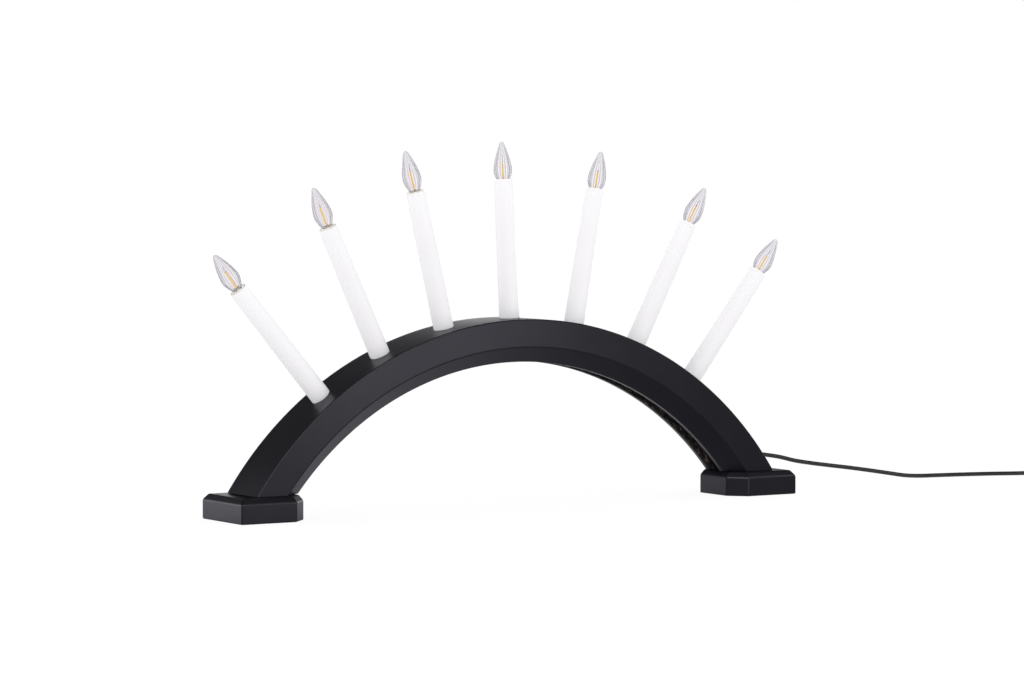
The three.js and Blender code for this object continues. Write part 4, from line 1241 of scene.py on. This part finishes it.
def make_floor():
    """White floor that keeps a little of the object's shadow; gloss shows it dimmer in front."""
    corners = [(x * FLOOR_HALF, y * FLOOR_HALF, 0) for x, y in ((-1, -1), (1, -1), (1, 1), (-1, 1))]
    floor = mesh_object("floor", corners, [[0, 1, 2, 3]])
    material = bpy.data.materials.new("pale_floor")
    material.use_nodes = True
    tree = material.node_tree
    tree.nodes.remove(tree.nodes["Principled BSDF"])
    diffuse = add_node(tree, "BsdfDiffuse")
    diffuse.inputs["Color"].default_value = (0.98, 0.98, 0.98, 1)
    glow = add_node(tree, "Emission")
    mix = add_node(tree, "MixShader")
    gloss, camera = shown(tree)
    spot = add_node(tree, "TexCoord").outputs["Object"]
    place = add_node(tree, "SeparateXYZ")
    tree.links.new(spot, place.inputs[0])
    far = smooth_step(tree, place.outputs["Y"], -FLOOR_SHEEN_TURN, FLOOR_SHEEN_TURN)
    sheen = blended(tree, far, FLOOR_SHEEN_NEAR, FLOOR_SHEEN_FAR)
    reach = add_node(tree, "VectorMath")
    reach.operation = "LENGTH"
    tree.links.new(spot, reach.inputs[0])
    open_floor = smooth_step(tree, reach.outputs["Value"], FLOOR_NEAR, FLOOR_FAR)
    lit = blended(tree, open_floor, FLOOR_NEAR_LIT, FLOOR_FAR_LIT)
    direct = blended(tree, camera, lit, FLOOR_WHITE)
    tree.links.new(blended(tree, gloss, direct, sheen), glow.inputs["Strength"])
    tree.links.new(tinted(tree, gloss), glow.inputs["Color"])
    tree.links.new(blended(tree, camera, 1.0, FLOOR_GLOW), mix.inputs[0])
    tree.links.new(diffuse.outputs[0], mix.inputs[1])
    tree.links.new(glow.outputs[0], mix.inputs[2])
    tree.links.new(mix.outputs[0], tree.nodes["Material Output"].inputs["Surface"])
    material.cycles.emission_sampling = "NONE"
    floor.data.materials.append(material)


def make_world():
    """White room; gloss and glass show its backdrop, and the dim studio above and on the camera's side."""
    world = bpy.data.worlds.new("studio")
    world.use_nodes = True
    scene.world = world
    tree = world.node_tree
    background = tree.nodes["Background"]
    toward = add_node(tree, "TexCoord").outputs["Generated"]
    split = add_node(tree, "SeparateXYZ")
    tree.links.new(toward, split.inputs[0])
    ahead = add_node(tree, "VectorMath")
    ahead.operation = "DOT_PRODUCT"
    ahead.inputs[1].default_value = AHEAD
    tree.links.new(toward, ahead.inputs[0])
    behind = smooth_step(tree, ahead.outputs["Value"], BACKDROP_FROM, BACKDROP_FULL)
    above = smooth_step(tree, split.outputs["Z"], CEILING_FROM, CEILING_FULL)
    studio = blended(tree, above, blended(tree, behind, STUDIO_DIM, BACKDROP_SHEEN), STUDIO_DIM)
    gloss, camera = shown(tree)
    lit = blended(tree, above, SKY_LOW_LIT, SKY_HIGH_LIT)
    direct = blended(tree, camera, lit, 1.0)
    tree.links.new(blended(tree, gloss, direct, studio), background.inputs["Strength"])
    tree.links.new(tinted(tree, gloss), background.inputs["Color"])
    world.cycles.sampling_method = "NONE"


def make_light(name, at, to, size, watts):
    """Soft panel that only shows in gloss; the white room lights the matt surfaces."""
    data = bpy.data.lights.new(name, "AREA")
    data.shape = "RECTANGLE"
    data.size, data.size_y = size
    data.energy = watts
    lamp = link(bpy.data.objects.new(name, data))
    lamp.visible_diffuse = False
    lamp.location = at
    lamp.rotation_euler = (Vector(to) - Vector(at)).to_track_quat("-Z", "Y").to_euler()


make_floor()
make_world()
make_light("softbox", (-0.05, -1.0, 0.45), (-0.12, 0, 0.15), (0.25, 0.9), 3.5)
make_light("card", (0.2, -0.55, 0.12), (-0.12, 0, 0.1), (0.2, 0.3), 0.67)
make_light("strip", (1.25, -0.8, 0.65), (0, 0, 0.25), (0.15, 0.8), 4.0)
make_light("rim_left", (-0.8, 0.72, 0.08), (-0.25, 0, 0.05), (0.3, 0.2), 1.3)
make_light("rim_right", (1.3, 0.8, 0.12), (-0.2, 0, 0.05), (0.4, 0.2), 0.9)
make_light("back", (0.95, 1.75, 0.4), (0, 0, 0.15), (0.6, 0.3), 0.9)
make_light("key", (-1.5, -1.3, 1.2), (-0.1, 0, 0.1), (1.0, 1.0), 24.0)

scene.view_settings.view_transform = "Standard"
